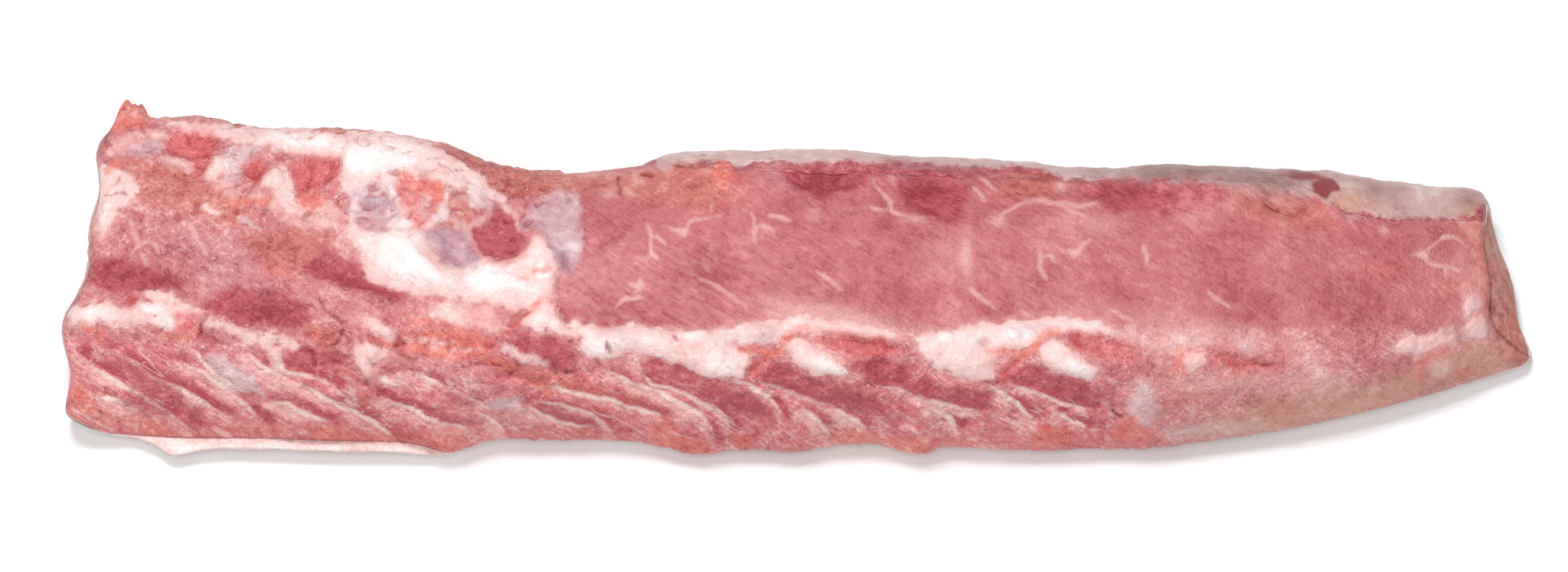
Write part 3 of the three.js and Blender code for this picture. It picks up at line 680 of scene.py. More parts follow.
# Soft changes of tone: place, half length, half width, turn, amount.
TONES = {
    "warm": {
        "by the glints": ((365, 352), 12, 6, -10, 0.8),
        "torn seam": ((560, 442), 34, 11, -5, 0.5),
        "left of the crack": ((612, 418), 18, 7, 0, 0.45),
        "band under the groove": ((748, 503), 34, 5, -17, 0.85),
        "second band under it": ((812, 540), 20, 5, -20, 0.5),
        "edge over the eye muscle": ((935, 240), 16, 12, 0, 0.55),
        "foot of the shoulder end": ((140, 545), 30, 6, -20, 0.6),
        "foot before the first lobe": ((350, 563), 44, 5, -4, 0.6),
        "foot of the first lobe": ((530, 572), 34, 6, 0, 0.6),
        "foot past the first lobe": ((730, 565), 40, 3, 0, 0.5),
        "foot past the third lobe": ((1180, 576), 40, 4, 0, 0.6),
        "foot of the middle": ((1410, 574), 34, 4, 0, 0.6),
        "torn belly edge": ((1690, 284), 26, 8, -8, 0.4),
        "orange corner of the top band": ((1762, 264), 12, 6, 0, 0.9),
        "rump half": ((1815, 350), 12, 6, 0, 0.35),
        "belly corner of the rump end": ((1932, 282), 9, 7, 0, 0.6),
        "rump end": ((1956, 355), 8, 28, 0, 0.55),
    },
    "deep": {
        "foot of the flat muscle": ((130, 348), 14, 7, 0, 0.5),
        "flat muscle over the cord": ((225, 385), 22, 7, -20, 0.5),
        "by the torn hole": ((330, 405), 26, 9, -12, 0.6),
        "under the field": ((435, 352), 26, 9, -25, 0.95),
        "eye muscle, first corner": ((770, 405), 18, 7, 0, 0.4),
        "eye muscle over the first belt": ((880, 408), 30, 6, 0, 0.4),
        "eye muscle over the second belt": ((1255, 398), 28, 7, -15, 0.25),
        "under the violet patch": ((1210, 258), 22, 12, 0, 0.35),
        "eye muscle, left of its middle": ((960, 362), 44, 15, 0, 0.85),
        "past the orange fold": ((1480, 256), 34, 8, 0, 0.9),
        "under the top band": ((1090, 228), 26, 5, 3, 0.9),
        "flat muscle": ((270, 350), 34, 12, -20, 0.35),
        "bulge at the belly edge": ((1792, 318), 15, 8, -20, 0.6),
        "past the rump belt": ((1795, 472), 13, 7, -40, 0.4),
    },
    "pale": {
        "over the first vessel": ((1050, 402), 28, 4, -8, 0.5),
        "past it": ((1140, 424), 30, 5, -12, 0.7),
        "by the branch": ((1432, 292), 12, 5, -10, 0.5),
        "wisps of the belly edge": ((1640, 254), 13, 3.2, -6, 0.8),
        "more wisps": ((1672, 264), 12, 2.6, -8, 0.7),
        "over the rump belt": ((1560, 425), 40, 5, -8, 0.5),
        "seam in the eye muscle": ((1262, 336), 2.6, 12, 0, 0.8),
        "beside the seam": ((1240, 330), 12, 9, 0, 0.3),
        "mark in the eye muscle": ((1064, 280), 4, 4.5, 30, 0.55),
        "fleck by the orange fold": ((1385, 241), 3.4, 2.2, -40, 1.0),
        "fleck in the brown edge": ((793, 249), 3, 3.2, 0, 0.9),
        "second fleck there": ((822, 246), 1.8, 3.2, 10, 0.9),
        "foot of the broad vein": ((1195, 284), 5, 2.2, -8, 0.8),
        "heart of the first star": ((892, 303), 2.6, 1.8, 0, 1.0),
        "heart of the second star": ((1403, 330), 2.6, 1.8, 0, 1.0),
        "heart of the star past the silver skin": ((836, 372), 2.0, 1.8, 0, 0.9),
        "heart of the rump end's star": ((1864, 332), 3.4, 2.0, 0, 1.0),
        "foot of the branch": ((1303, 288), 4.5, 3.4, 0, 0.8),
        "knob at the belly edge": ((1811, 301), 2.4, 2.0, -30, 0.9),
        "by the silver skin": ((700, 328), 6, 5, 0, 0.6),
        "foot of the rump half": ((1560, 505), 30, 6, 0, 0.4),
        "second foot of it": ((1700, 500), 26, 6, 0, 0.45),
        "under the rump belt": ((1620, 500), 34, 5, 0, 0.35),
        "corner of the rump end": ((1915, 430), 12, 6, 0, 0.4),
        "above the first lobe": ((670, 548), 20, 6, 0, 0.4),
    },
    "tan": {
        "rump end": ((1955, 470), 22, 9, 6, 1.0),
        "foot of the rump half": ((1830, 508), 44, 7, 24, 0.9),
        "foot before it": ((1690, 532), 34, 8, 12, 0.75),
        "pale foot": ((1620, 556), 34, 4, 4, 0.5),
    },
    "dusk": {
        "top band of the rump half": ((1570, 226), 52, 9, 0, 1.0),
        "second part of it": ((1660, 240), 20, 6, -8, 0.5),
        "top band past the wedge": ((1800, 250), 12, 6, 0, 0.5),
        "corner of the top band": ((1932, 266), 8, 8, 0, 0.7),
    },
    "lilac": {
        "under the first top band": ((1024, 232), 9, 4, -30, 0.6),
        "violet patch under the top band": ((1178, 222), 7, 3.6, 0, 0.9),
        "under the orange corner": ((1768, 282), 8, 3.4, -8, 0.7),
        "flat of the torn end": ((160, 252), 9, 8, 0, 0.3),
        "flat muscle": ((300, 345), 30, 11, -22, 0.4),
        "flat muscle over the cord": ((304, 384), 14, 6, -15, 0.55),
        "bundles of the shoulder end": ((300, 478), 26, 9, -32, 0.3),
        "bundles of the middle": ((610, 500), 28, 7, -16, 0.35),
    },
}


# Every kind of patch, by the mask that it makes.
PATCHES = {
    "fat_mm": FAT_PATCHES,
    "bright_mm": BRIGHT_PATCHES,
    "pink_mm": PINK_PATCHES,
    "film_mm": FILM_PATCHES,
    "lilac_mm": LILAC_PATCHES,
    "violet_mm": VIOLET_PATCHES,
    "brown_mm": BROWN_PATCHES,
    "pores_mm": PORES,
    "crimson_mm": CRIMSON_PATCHES,
    "meat_mm": MEAT_IN_FAT_PATCHES,
    "gristle_mm": GRISTLE_IN_FAT_PATCHES,
    "blood_mm": BLOOD_PATCHES,
    "coral_mm": CORAL_PATCHES,
    "dark_mm": DARK_RED_PATCHES,
}
DARK_RED_IN = 1  # how far inside their outlines the dark red patches stay
# Lines that thin out towards their ends: how far they sway, and how much thinner they get, in millimetres.
SEPTA_SWAY, SEPTA_THINNER = 0.35, 1.5
VEINS_SWAY, VEINS_THINNER = 0.5, 1.1
# Painted light on one side of each white sheet, painted shade on the other: how far off its line each lies.
BESIDE_SEPTA = {"painted_light_mm": (1.6, 2.2), "shade_mm": (-1.6, -2.4)}
FROM_LINES = ("septa_mm", "painted_light_mm", "shade_mm", "veins_mm")  # masks that are 0 on lines, and more off them

OUTSIDE = -30.0  # the value of a place that is well outside of all patches
AWAY = 60.0  # the value of a place that is nowhere near a line
PATCH_MARGIN = 9
LINE_MARGIN = 20
OUTLINE_SWAY, OVAL_SWAY = 0.8, 0.6


def near_to(x, v, points, margin):
    """Which places lie in the box round these points, made wider by the margin."""
    xs, vs = zip(*points)
    across = (x > min(xs) - margin) & (x < max(xs) + margin)
    return across & (v > min(vs) - margin) & (v < max(vs) + margin)


def oval_away(x, v, middle, long, wide, turn=0):
    """How many times its own size each place is away from the middle of an oval."""
    a = math.radians(turn)
    x, v = x - middle[0], v - middle[1]
    lengthwise = x * math.cos(a) + v * math.sin(a)
    crosswise = v * math.cos(a) - x * math.sin(a)
    return np.hypot(lengthwise / long, crosswise / wide)


class Chart:
    """The bone side laid out flat, at every point of the mesh. Shapes on it are distances in millimetres,
    and are positive inside."""

    def __init__(self, x, v):
        self.x, self.v = x, v
        flat = np.stack([x, v, 0 * x], -1)
        self.wander = [2.2 * noise(flat, 8, s) + 1.0 * noise(flat, 3.2, s + 1) for s in (10, 20)]

    def swayed(self, sway):
        """The places of the mesh, moved about so that shapes on it get uneven edges."""
        return self.x + sway * self.wander[0], self.v + sway * self.wander[1]

    def outline(self, corners):
        """Distance in from the edge of a patch with these corners, which are rounded off."""
        ring = rounded_ring([on_loin(corner) for corner in corners])
        near = near_to(self.x, self.v, ring, PATCH_MARGIN)
        x, v = (places[near] for places in self.swayed(OUTLINE_SWAY))
        edge = np.abs(self.to_line(x, v, ring + ring[:1])[0])
        within = np.zeros(x.shape, bool)
        for (ax, av), (bx, bv) in zip(ring, ring[1:] + ring[:1]):
            crosses = (av > v) != (bv > v)
            within ^= crosses & (x < (bx - ax) * (v - av) / (bv - av + 1e-9) + ax)
        inside = np.full(self.x.shape, OUTSIDE)
        inside[near] = np.where(within, edge, -edge)
        return inside

    def ring(self, place, long, wide, turn, sway=0.0):
        """How many times its own size each point is away from the middle of an oval."""
        return oval_away(*self.swayed(sway), on_loin(place), long, wide, turn)

    def oval(self, place, long, wide, turn):
        """Distance in from the edge of an oval patch."""
        return (1 - self.ring(place, long, wide, turn, OVAL_SWAY)) * min(long, wide)

    def patch(self, shape):
        """Distance in from the edge of a patch: an oval is a tuple, and an outline a list of corners."""
        return self.oval(*shape) if isinstance(shape, tuple) else self.outline(shape)

    def patches(self, shapes):
        return np.max([self.patch(shape) for shape in shapes.values()], 0)

    @staticmethod
    def to_line(x, v, points):
        """Distance to a line of points, negative on its right-hand side, and the share of the line passed."""
        nearest, passed = np.full(x.shape, AWAY), np.zeros(x.shape)
        for k, ((ax, av), (bx, bv)) in enumerate(zip(points, points[1:])):
            ux, uv = bx - ax, bv - av
            t = np.clip(((x - ax) * ux + (v - av) * uv) / (ux * ux + uv * uv), 0, 1)
            far = np.hypot(x - ax - t * ux, v - av - t * uv)
            far = np.where(ux * (v - av) - uv * (x - ax) < 0, -far, far)
            closer = np.abs(far) < np.abs(nearest)
            nearest = np.where(closer, far, nearest)
            passed = np.where(closer, (k + t) / (len(points) - 1), passed)
        return nearest, passed

    def lines(self, rows, sway, thinner=0.0):
        """For each point, its distance to the nearest line, negative on one side of it. A line that gets
        thinner towards its ends counts as this much further away there."""
        x, v = self.swayed(sway)
        nearest = np.full(x.shape, AWAY)
        for points in rows:
            points = rounded([on_loin(point) for point in points])
            near = near_to(x, v, points, LINE_MARGIN)
            far, passed = self.to_line(x[near], v[near], points)
            far = far + np.sign(far) * thinner * np.abs(2 * passed - 1) ** 3
            nearest[near] = np.where(np.abs(far) < np.abs(nearest[near]), far, nearest[near])
        return nearest

    def strokes(self, rows, sway=0.5):
        """Distance in from the edges of lines that have a width."""
        inside = np.full(self.x.shape, OUTSIDE)
        for points, half in rows.values():
            inside = np.maximum(inside, half - np.abs(self.lines([points], sway)))
        return inside

    def tone(self, name):
        total = sum(amount * bell(self.ring(*where)) for *where, amount in TONES[name].values())
        return np.clip(total, 0, 1)


def between(before, a, b, after, t):
    """The point at a share t of the way from a to b, on the smooth curve through all four."""
    return tuple(
        0.5 * (2 * q + (r - p) * t + (2 * p - 5 * q + 4 * r - s) * t**2 + (3 * q - p - 3 * r + s) * t**3)
        for p, q, r, s in zip(before, a, b, after)
    )


def rounded(points, steps=3):
    """The same line with its corners rounded off by a curve through its points."""
    if len(points) < 3:
        return points
    ends = [points[0], *points, points[-1]]
    line = []
    for four in zip(ends, ends[1:], ends[2:], ends[3:]):
        line += [between(*four, k / steps) for k in range(steps)]
    return [*line, points[-1]]


def rounded_ring(points):
    """The same ring of corners, with each corner cut off."""
    ring = []
    for a, b in zip(points, points[1:] + points[:1]):
        ring += [tuple(share * p + (1 - share) * q for p, q in zip(a, b)) for share in (0.75, 0.25)]
    return ring


def paint(x, v):
    """The masks that the finishes read: tissues in millimetres from their edges, and tones from 0 to 1."""
    chart = Chart(x, v)
    masks = {name: chart.patches(shapes) for name, shapes in PATCHES.items()}
    masks["brown_mm"] = np.maximum(masks["brown_mm"], chart.strokes(RIM_LINES, 0.2))
    masks["coral_mm"] = np.maximum(masks["coral_mm"], chart.strokes(ORANGE_LINES))
    masks["dark_mm"] = np.maximum(masks["dark_mm"] - DARK_RED_IN, chart.strokes(DARK_LINES))
    masks["cream_mm"] = chart.strokes(CREAM_LINES)
    masks["band_mm"] = chart.outline(TOP_BAND)
    masks["septa_mm"] = np.abs(chart.lines(SEPTA.values(), SEPTA_SWAY, SEPTA_THINNER))
    masks["veins_mm"] = np.abs(chart.lines(VEINS.values(), VEINS_SWAY, VEINS_THINNER))
    for name, (dx, dv) in BESIDE_SEPTA.items():
        masks[name] = np.abs(Chart(x + dx, v + dv).lines(SEPTA.values(), SEPTA_SWAY))

    # the eye muscle, the bundles of the chine face, the torn surface, and the smoother foot of the rump half
    seam = along(SEAM, "up", x)
    torn_by_seam = bell((v - seam - 8) / 14) * smooth((-95 - x) / 20)
    torn_by_scars = smooth((v - 25) / 20) * smooth((-115 - x) / 10)
    masks["eye"] = smooth((x + 118 + 2.5 * np.sin(v / 5)) / 4) * smooth((v + 15) / 7)
    masks["strip"] = smooth((seam - v + 1) / 7) * smooth((185 - x) / 60)
    masks["torn"] = np.clip(torn_by_seam + torn_by_scars, 0, 1)
    masks["soft"] = smooth((x - 95) / 130) * smooth((45 - v) / 10)
    masks["up"] = v
    for name in TONES:
        masks[name] = chart.tone(name)
    return masks


# How far each tissue stands out or lies sunk, in millimetres, where that starts, counted in from its edge,
# and over how many millimetres it comes about.
RELIEF = {
    "fat_mm": (1.0, -0.5, 2),
    "bright_mm": (1.2, 0, 4),
    "lilac_mm": (-1.2, -0.5, 2.5),
    "blood_mm": (-1.5, -0.5, 2.5),
    "crimson_mm": (-0.7, -0.5, 2.5),
    "dark_mm": (-1.6, -0.8, 1.8),
    "cream_mm": (-0.3, -0.3, 1.2),
}
PILLOW = {"high": 0.8, "reach": 4.5, "sunk": 0.5}  # the swell of the bundles between their white sheets
EYE_STEP = 1.6  # how far the eye muscle lies below the skin and fat round it
CREASE_WIDTH = 0.12
HOLLOW_REACH = 4  # how many points to each side are a neighbourhood


def mound_height(x, v):
    return sum(
        height * bell(oval_away(x, v, (cx, cv), long, wide, turn))
        for cx, cv, long, wide, turn, height in MOUNDS
    )


def waves(x, v):
    swell = 0.55 * np.sin(x / 17 + v / 23) + 0.5 * np.sin(v / 11 - x / 31 + 1.3)
    return swell + 0.4 * np.sin(x / 9.1 + 2 * np.sin(v / 14))


def creases(space, size, seed):
    """Narrow crooked folds, 1 along their lines and 0 away from them."""
    return smooth(1 - np.abs(noise(space, size, seed)) / CREASE_WIDTH)


def bone_side(x, v, space):
    """The relief of the bone side in millimetres, and its masks."""
    masks = paint(x, v)
    eye, strip, torn = masks["eye"], masks["strip"], masks["torn"]
    pillows = PILLOW["high"] * (1 - np.exp(-masks["septa_mm"] / PILLOW["reach"])) - PILLOW["sunk"]
    height = mound_height(x, v) + pillows * strip
    height += waves(x, v) - EYE_STEP * eye * smooth((250 - x) / 200)
    for name, (out, start, reach) in RELIEF.items():
        # on the chine face the dark red bundles are as high as the others
        where = 1 - strip if name == "crimson_mm" else 1
        height += where * out * smooth((masks[name] - start) / reach)
    rough = 0.2 + 0.8 * torn + 0.4 * strip + 0.45 * (1 - eye) * (1 - strip)
    lumps = 1.0 * noise(space, 6, 31) + 0.7 * noise(space, 2.8, 32)
    height += rough * lumps * (1 - 0.6 * smooth((v - 50) / 25))
    height -= (1.5 * torn + 0.6 * strip) * creases(space, 11, 34)
    height += (0.3 + 0.45 * strip) * noise(along_grain(x, v), 1.0, 33)
    return height, masks


def hollowness(height):
    """How far each point lies below the mean of its neighbourhood, in millimetres."""
    mean = height
    for axis in (0, 1):
        total = 0
        for step in range(-HOLLOW_REACH, HOLLOW_REACH + 1):
            total = total + np.roll(mean, step, axis)
        mean = total / (2 * HOLLOW_REACH + 1)
    return mean - height


GRAIN_TURN = math.radians(-32)  # the fibres run down the face towards the rump end
GRAIN_SIZE = (9.0, 1.5)  # the length and the width of a fibre


def along_grain(x, v):
    """Places counted in fibre lengths along the grain and fibre widths across it."""
    run = (x * math.cos(GRAIN_TURN) + v * math.sin(GRAIN_TURN)) / GRAIN_SIZE[0]
    cross = (v * math.cos(GRAIN_TURN) - x * math.sin(GRAIN_TURN)) / GRAIN_SIZE[1]
    return np.stack([run, cross, 0 * run], -1)


# ---------- Meshes ----------
ALONG = 1.36  # steps of the lean's mesh, in millimetres
LEAN_ROWS = 148  # the lean's points round the top at each station
LEAN_UNDER = 12  # and underneath, on the fat
CUT_RINGS = 20
CUT_SIZES = np.linspace(1, 0.04, CUT_RINGS + 1)[1:]  # the rings of a cut face, as shares of its outline
CUT_DEPTHS = (1 - CUT_SIZES) * 60 + 1  # how far in they count, for the masks
LEAN_LIFT = 0.25  # the least height of the lean over the board
ROUND_ENDS = {"deep": 3.0, "over": 6.0}  # the rounding of the rims of both cut ends
TIP = {"middle": (-326, 92), "long": 11, "wide": 10}  # where the torn tip is, for its own roughness

FAT_ALONG = 2.0  # steps of the fat's mesh
FAT_STEPS = 120
INNER_STEP = 3  # the fat's inside has one point for this many outside
SIDE_SHARE = 0.3  # how much of the fat, counted from its belly edge, can show at the belly side
BELOW_ALL, OFF_CHART = -99, -300  # distances up the face for the fat that can't show there
LIP = {"deep": 0.6, "over": 1.2}  # the rounding of the fat's edges
FAT_LIFT = 0.05
FARTHEST = 99  # masks hold no distances over this


def fat_thickness(x, share):
    """The fat's thickness from its belly edge (0) to its chine edge (1)."""
    belly = mix(FAT["belly_edge"], FAT["rump_band"], smooth((x - 225) / 35))
    side = mix(belly, FAT["base"], smooth(share / 0.35))
    return mix(side, FAT["chine_edge"], smooth((share - 0.8) / 0.2))


def fat_edges(x):
    """The turns round the section at which the fat's chine and belly edges lie."""
    line = np.stack([x, 0 * x, 0 * x], -1)
    sway = 0.05 * noise(line, 9, 41) + 0.03 * noise(line, 3.5, 42)
    return along(FAT_EDGES, "chine", x), along(FAT_EDGES, "belly", x) + sway


def under_turns(points, chine, belly, share):
    """The turns round the section at shares of the way from the belly edge, underneath, to the chine edge."""
    return belly[:, None] + (chine + points.shape[1] - belly)[:, None] * share


def run_along(place):
    """The distance run along each section's outline from its first point."""
    steps = np.linalg.norm(np.diff(place, axis=1), axis=-1)
    return np.concatenate([np.zeros((len(steps), 1)), steps.cumsum(1)], 1)


def even_turns(points, start, finish, count, tries=240):
    """Turns from start to finish at each station, spaced evenly along the outline."""
    turns = start[:, None] + (finish - start)[:, None] * np.linspace(0, 1, tries)
    place, _ = section_at(points, turns)
    run = run_along(place)
    wanted = np.linspace(0, 1, count) * run[:, -1:]
    even = np.stack([np.interp(w, r, t) for w, r, t in zip(wanted, run, turns)])
    return even, wanted


def placed(name, data):
    """A new object in the scene, with this mesh, light or camera."""
    made = bpy.data.objects.new(name, data)
    bpy.context.collection.objects.link(made)
    return made


def mesh_piece(name, points, faces, masks):
    """A closed piece from points in millimetres, with its masks."""
    mesh = bpy.data.meshes.new(name)
    mesh.from_pydata((points * MM).tolist(), [], faces)
    for mask, values in masks.items():
        layer = mesh.attributes.new(mask, "FLOAT", "POINT")
        layer.data.foreach_set("value", np.clip(values, -FARTHEST, FARTHEST).astype(np.float32).ravel())
    mesh.polygons.foreach_set("use_smooth", np.ones(len(mesh.polygons), bool))
    mesh.update()
    return placed(name, mesh)


def band_faces(rows, count):
    """Quads between rows of points that go round a piece."""
    i, j = np.meshgrid(np.arange(rows - 1), np.arange(count), indexing="ij")
    k = (j + 1) % count
    quads = np.stack([i * count + j, (i + 1) * count + j, (i + 1) * count + k, i * count + k], -1)
    return quads.reshape(-1, 4).tolist()


def to_frame(x, place):
    return np.stack([x - BOX_MIDDLE[0], place[..., 0] - BOX_MIDDLE[1], place[..., 1]], -1)


def rounded_off(t):
    """The depth of a rounded edge, from 1 at the edge itself (0) to 0 where it ends (1)."""
    return 1 - np.sqrt(1 - (1 - np.clip(t, 0, 1)) ** 2)


def end_rounding(x):
    """How deep the rim of a cut end is rounded off, at each station."""
    return ROUND_ENDS["deep"] * rounded_off((END - np.abs(x)) / ROUND_ENDS["over"])


def elsewhere(name):
    """The value of a mask on the parts of a piece that it doesn't cover."""
    if name in FROM_LINES:
        return -OUTSIDE
    return OUTSIDE if name.endswith("_mm") else 0.0


def lean_skin(x, points, chine, belly):
    """The lean from its chine edge over the top to its belly edge, with its masks and its grain.

    Its relief fades out towards the fat and towards the cut ends.
    """
    turns, run = even_turns(points, chine, belly, LEAN_ROWS)
    place, normal = section_at(points, turns)
    station = np.repeat(x[:, None], LEAN_ROWS, 1)
    truly = station + end_shift(station, place)
    v = laid_out(face_up(place))
    space = np.stack([truly, place[..., 0], place[..., 1]], -1)
    tips = sum(
        out * bell(oval_away(truly, v, (cx, cv), long, wide) ** 2) for cx, cv, long, wide, out in TORN_TIPS
    )
    height, masks = bone_side(truly, v + tips * math.cos(FACE_TILT), space)
    open_to = smooth(run / 7) * smooth((run[:, -1:] - run) / 5)
    edge = smooth((END - np.abs(station)) / 6)
    # how deep each point lies in a hollow of the relief; the finish paints shade there
    masks["hollow"] = hollowness(height) * open_to * edge
    masks["rump_rim"] = smooth((station - END + 13) / 11)
    shreds = 2.0 * noise(space, 6.5, 35) + 2.4 * noise(space, 3.2, 36)
    height = height + bell(oval_away(truly, v, TIP["middle"], TIP["long"], TIP["wide"])) * shreds
    height = height * open_to * (0.35 + 0.65 * edge) - end_rounding(station)
    place = place + normal * height[..., None]
    place[..., 0] += tips
    place[..., 1] = np.maximum(place[..., 1], LEAN_LIFT)
    return to_frame(truly, place), masks, along_grain(truly, v)


def lean_underside(x, points, chine, belly):
    """The lean where it lies on its fat, from its belly edge back to its chine edge."""
    share = np.linspace(0, 1, LEAN_UNDER)[None, :]
    place, normal = section_at(points, under_turns(points, chine, belly, share))
    station = np.repeat(x[:, None], LEAN_UNDER, 1)
    depth = fat_thickness(station, share) + GAP
    place = place - normal * depth[..., None]
    return to_frame(station + end_shift(station, place), place)


def cut_rings(ring, outwards):
    """Smaller and smaller rings over a cut end, which swells a little."""
    middle = (ring.min(0) + ring.max(0)) / 2
    end = np.full(len(ring), outwards * END)
    rings = []
    for t in CUT_SIZES:
        level = middle + (ring - middle) * t
        bulge = 2.2 * (1 - t**4) + 0.7 * noise(level, 9, 51) * (1 - t**8) + 0.3 * noise(level, 3.5, 52)
        slant = end_shift(end, level[:, 1:] + (BOX_MIDDLE[1], 0))
        level[:, 0] = end - BOX_MIDDLE[0] + slant + outwards * bulge
        rings.append(level)
    return rings


def lean_masks(masks, rows, count):
    """The masks of the whole lean, with its underside and its two cut faces."""
    cut, shoulder = np.zeros((rows, count)), np.zeros((rows, count))
    cut[:CUT_RINGS] = CUT_DEPTHS[::-1, None]
    cut[-CUT_RINGS:] = CUT_DEPTHS[:, None]
    shoulder[:CUT_RINGS] = 1
    whole = {"cut": cut, "shoulder": shoulder}
    for name, values in masks.items():
        whole[name] = np.full((rows, count), elsewhere(name))
        whole[name][CUT_RINGS:-CUT_RINGS, :LEAN_ROWS] = values
    return whole


def lean_piece():
    x = np.linspace(-END, END, round(2 * END / ALONG) + 1)
    section = (x, control_points(x), *fat_edges(x))
    skin, masks, skin_grain = lean_skin(*section)
    body = np.concatenate([skin, lean_underside(*section)], 1)
    rows = [*cut_rings(body[0], -1)[::-1], *body, *cut_rings(body[-1], 1)]
    count = body.shape[1]
    faces = band_faces(len(rows), count)
    faces.append(list(range(count)))
    faces.append([len(rows) * count - 1 - j for j in range(count)])
    masks = lean_masks(masks, len(rows), count)
    piece = mesh_piece("loin_lean", np.concatenate(rows), faces, masks)
    grain = np.zeros((len(rows), count, 3), np.float32)
    grain[CUT_RINGS:-CUT_RINGS, :LEAN_ROWS] = skin_grain
    layer = piece.data.attributes.new("grain", "FLOAT_VECTOR", "POINT")
    layer.data.foreach_set("vector", grain.ravel())
    return piece


def fat_shares():
    """Places round the fat from its belly edge to its chine edge, close together at both edges."""
    close = np.array([0, 0.0015, 0.004, 0.0075, 0.012, 0.017])
    return np.concatenate([close, np.linspace(0.024, 0.976, FAT_STEPS), 1 - close[::-1]])


def fat_lip(station, share):
    """How far the fat's chine edge sticks out past the lean at the shoulder end."""
    within = smooth((station - FAT_LIP["from"]) / 25) * smooth((FAT_LIP["to"] - station) / 30)
    out = FAT_LIP["out"] + FAT_FLAP["out"] * bell((station - FAT_FLAP["at"]) / FAT_FLAP["half"])
    return out * within * smooth((share - 0.82) / 0.18)


def fat_sides(station, share, place, normal):
    """The fat's outside and inside, which meet in a rounded lip at both edges."""
    run = run_along(place)
    to_edge = np.minimum(run, run[:, -1:] - run)
    thick = fat_thickness(station, share)
    lip = np.minimum(thick / 2, LIP["deep"]) * rounded_off(to_edge / LIP["over"])
    space = np.stack([station, place[..., 0], place[..., 1]], -1)
    side = smooth(share / 0.05) * smooth((SIDE_SHARE - share) / 0.2)
    lumps = 0.9 * noise(space, 13, 61) + 0.5 * noise(space, 5, 62)
    wave = 0.9 * side * np.sin(station / 13 + 5 * share)
    wave += smooth(to_edge / 4) * lumps * smooth(place[..., 1] / 6)
    outside = place + normal * (wave - lip - end_rounding(station))[..., None]
    outside[..., 0] -= fat_lip(station, share)
    outside[..., 1] = np.maximum(outside[..., 1], 0)
    inside = place - normal * (thick - lip)[..., None]
    inside[..., 1] = np.maximum(inside[..., 1], FAT_LIFT)
    return outside, inside


def fat_end(outside, count):
    """The small faces of a cut end of the fat, each between its outside and its inside."""
    inside = range(count - 1, outside - 1, -1)
    below = range(1, outside - 1, INNER_STEP)
    faces = [[0, 1, inside[0]]]
    for (a, b), (low, high) in zip(zip(below, below[1:]), zip(inside, inside[1:])):
        faces.append([*range(a, b + 1), high, low])
    faces.append([*range(below[-1], outside), inside[-1]])
    return faces


def fat_piece():
    x = np.linspace(-END, END, round(2 * END / FAT_ALONG) + 1)
    points = control_points(x)
    share = fat_shares()[None, :]
    station = np.repeat(x[:, None], share.shape[1], 1)
    place, normal = section_at(points, under_turns(points, *fat_edges(x), share))
    outside, inside = fat_sides(station, share, place, normal)
    truly = station + end_shift(station, outside)
    outer = to_frame(truly, outside)
    inner = to_frame(station + end_shift(station, inside), inside)[:, 1:-1:INNER_STEP][:, ::-1]
    rows = np.concatenate([outer, inner], 1)
    seen, count = outer.shape[1], rows.shape[1]
    faces = band_faces(len(rows), count)
    last = (len(rows) - 1) * count
    for patch in fat_end(seen, count):
        faces.append(patch)
        faces.append([last + j for j in reversed(patch)])

    at_side = share < SIDE_SHARE
    up = np.where(at_side, laid_out(np.where(at_side, face_up(outside), BELOW_ALL)), OFF_CHART)
    masks = {}
    for name, values in paint(truly, up).items():
        masks[name] = np.full((len(x), count), elsewhere(name))
        masks[name][:, :seen] = values
    return mesh_piece("loin_fat", rows.reshape(-1, 3), faces, masks)


# ---------- Finishes ----------
def colour(*levels):
    """A colour given as red, green and blue, each 0 to 255 as on a screen, in amounts of light."""
    return (*(((level / 255 + 0.055) / 1.055) ** 2.4 for level in levels), 1)


class Shade:
    """A socket of a finish. Sums written with it add the Math nodes for them."""

    def __init__(self, finish, socket):
        self.finish = finish
        self.socket = socket

    def maths(self, operation, *values):
        return self.finish.node("Math", {"operation": operation}, dict(enumerate(values)))

    def __add__(self, other):
        return self.maths("ADD", self, other)

    def __sub__(self, other):
        return self.maths("SUBTRACT", self, other)

    def __rsub__(self, other):
        return self.maths("SUBTRACT", other, self)

    def __mul__(self, other):
        return self.maths("MULTIPLY", self, other)

    __radd__ = __add__
    __rmul__ = __mul__

    def __abs__(self):
        return self.maths("ABSOLUTE", self)

    def most(self, other):
        return self.maths("MAXIMUM", self, other)

    def rise(self, low, high):
        """0 where the value is low, 1 where it is high, with an even swing between."""
        ranges = {"From Min": low, "From Max": high, "Value": self}
        return self.finish.node("MapRange", {"interpolation_type": "SMOOTHSTEP"}, ranges)


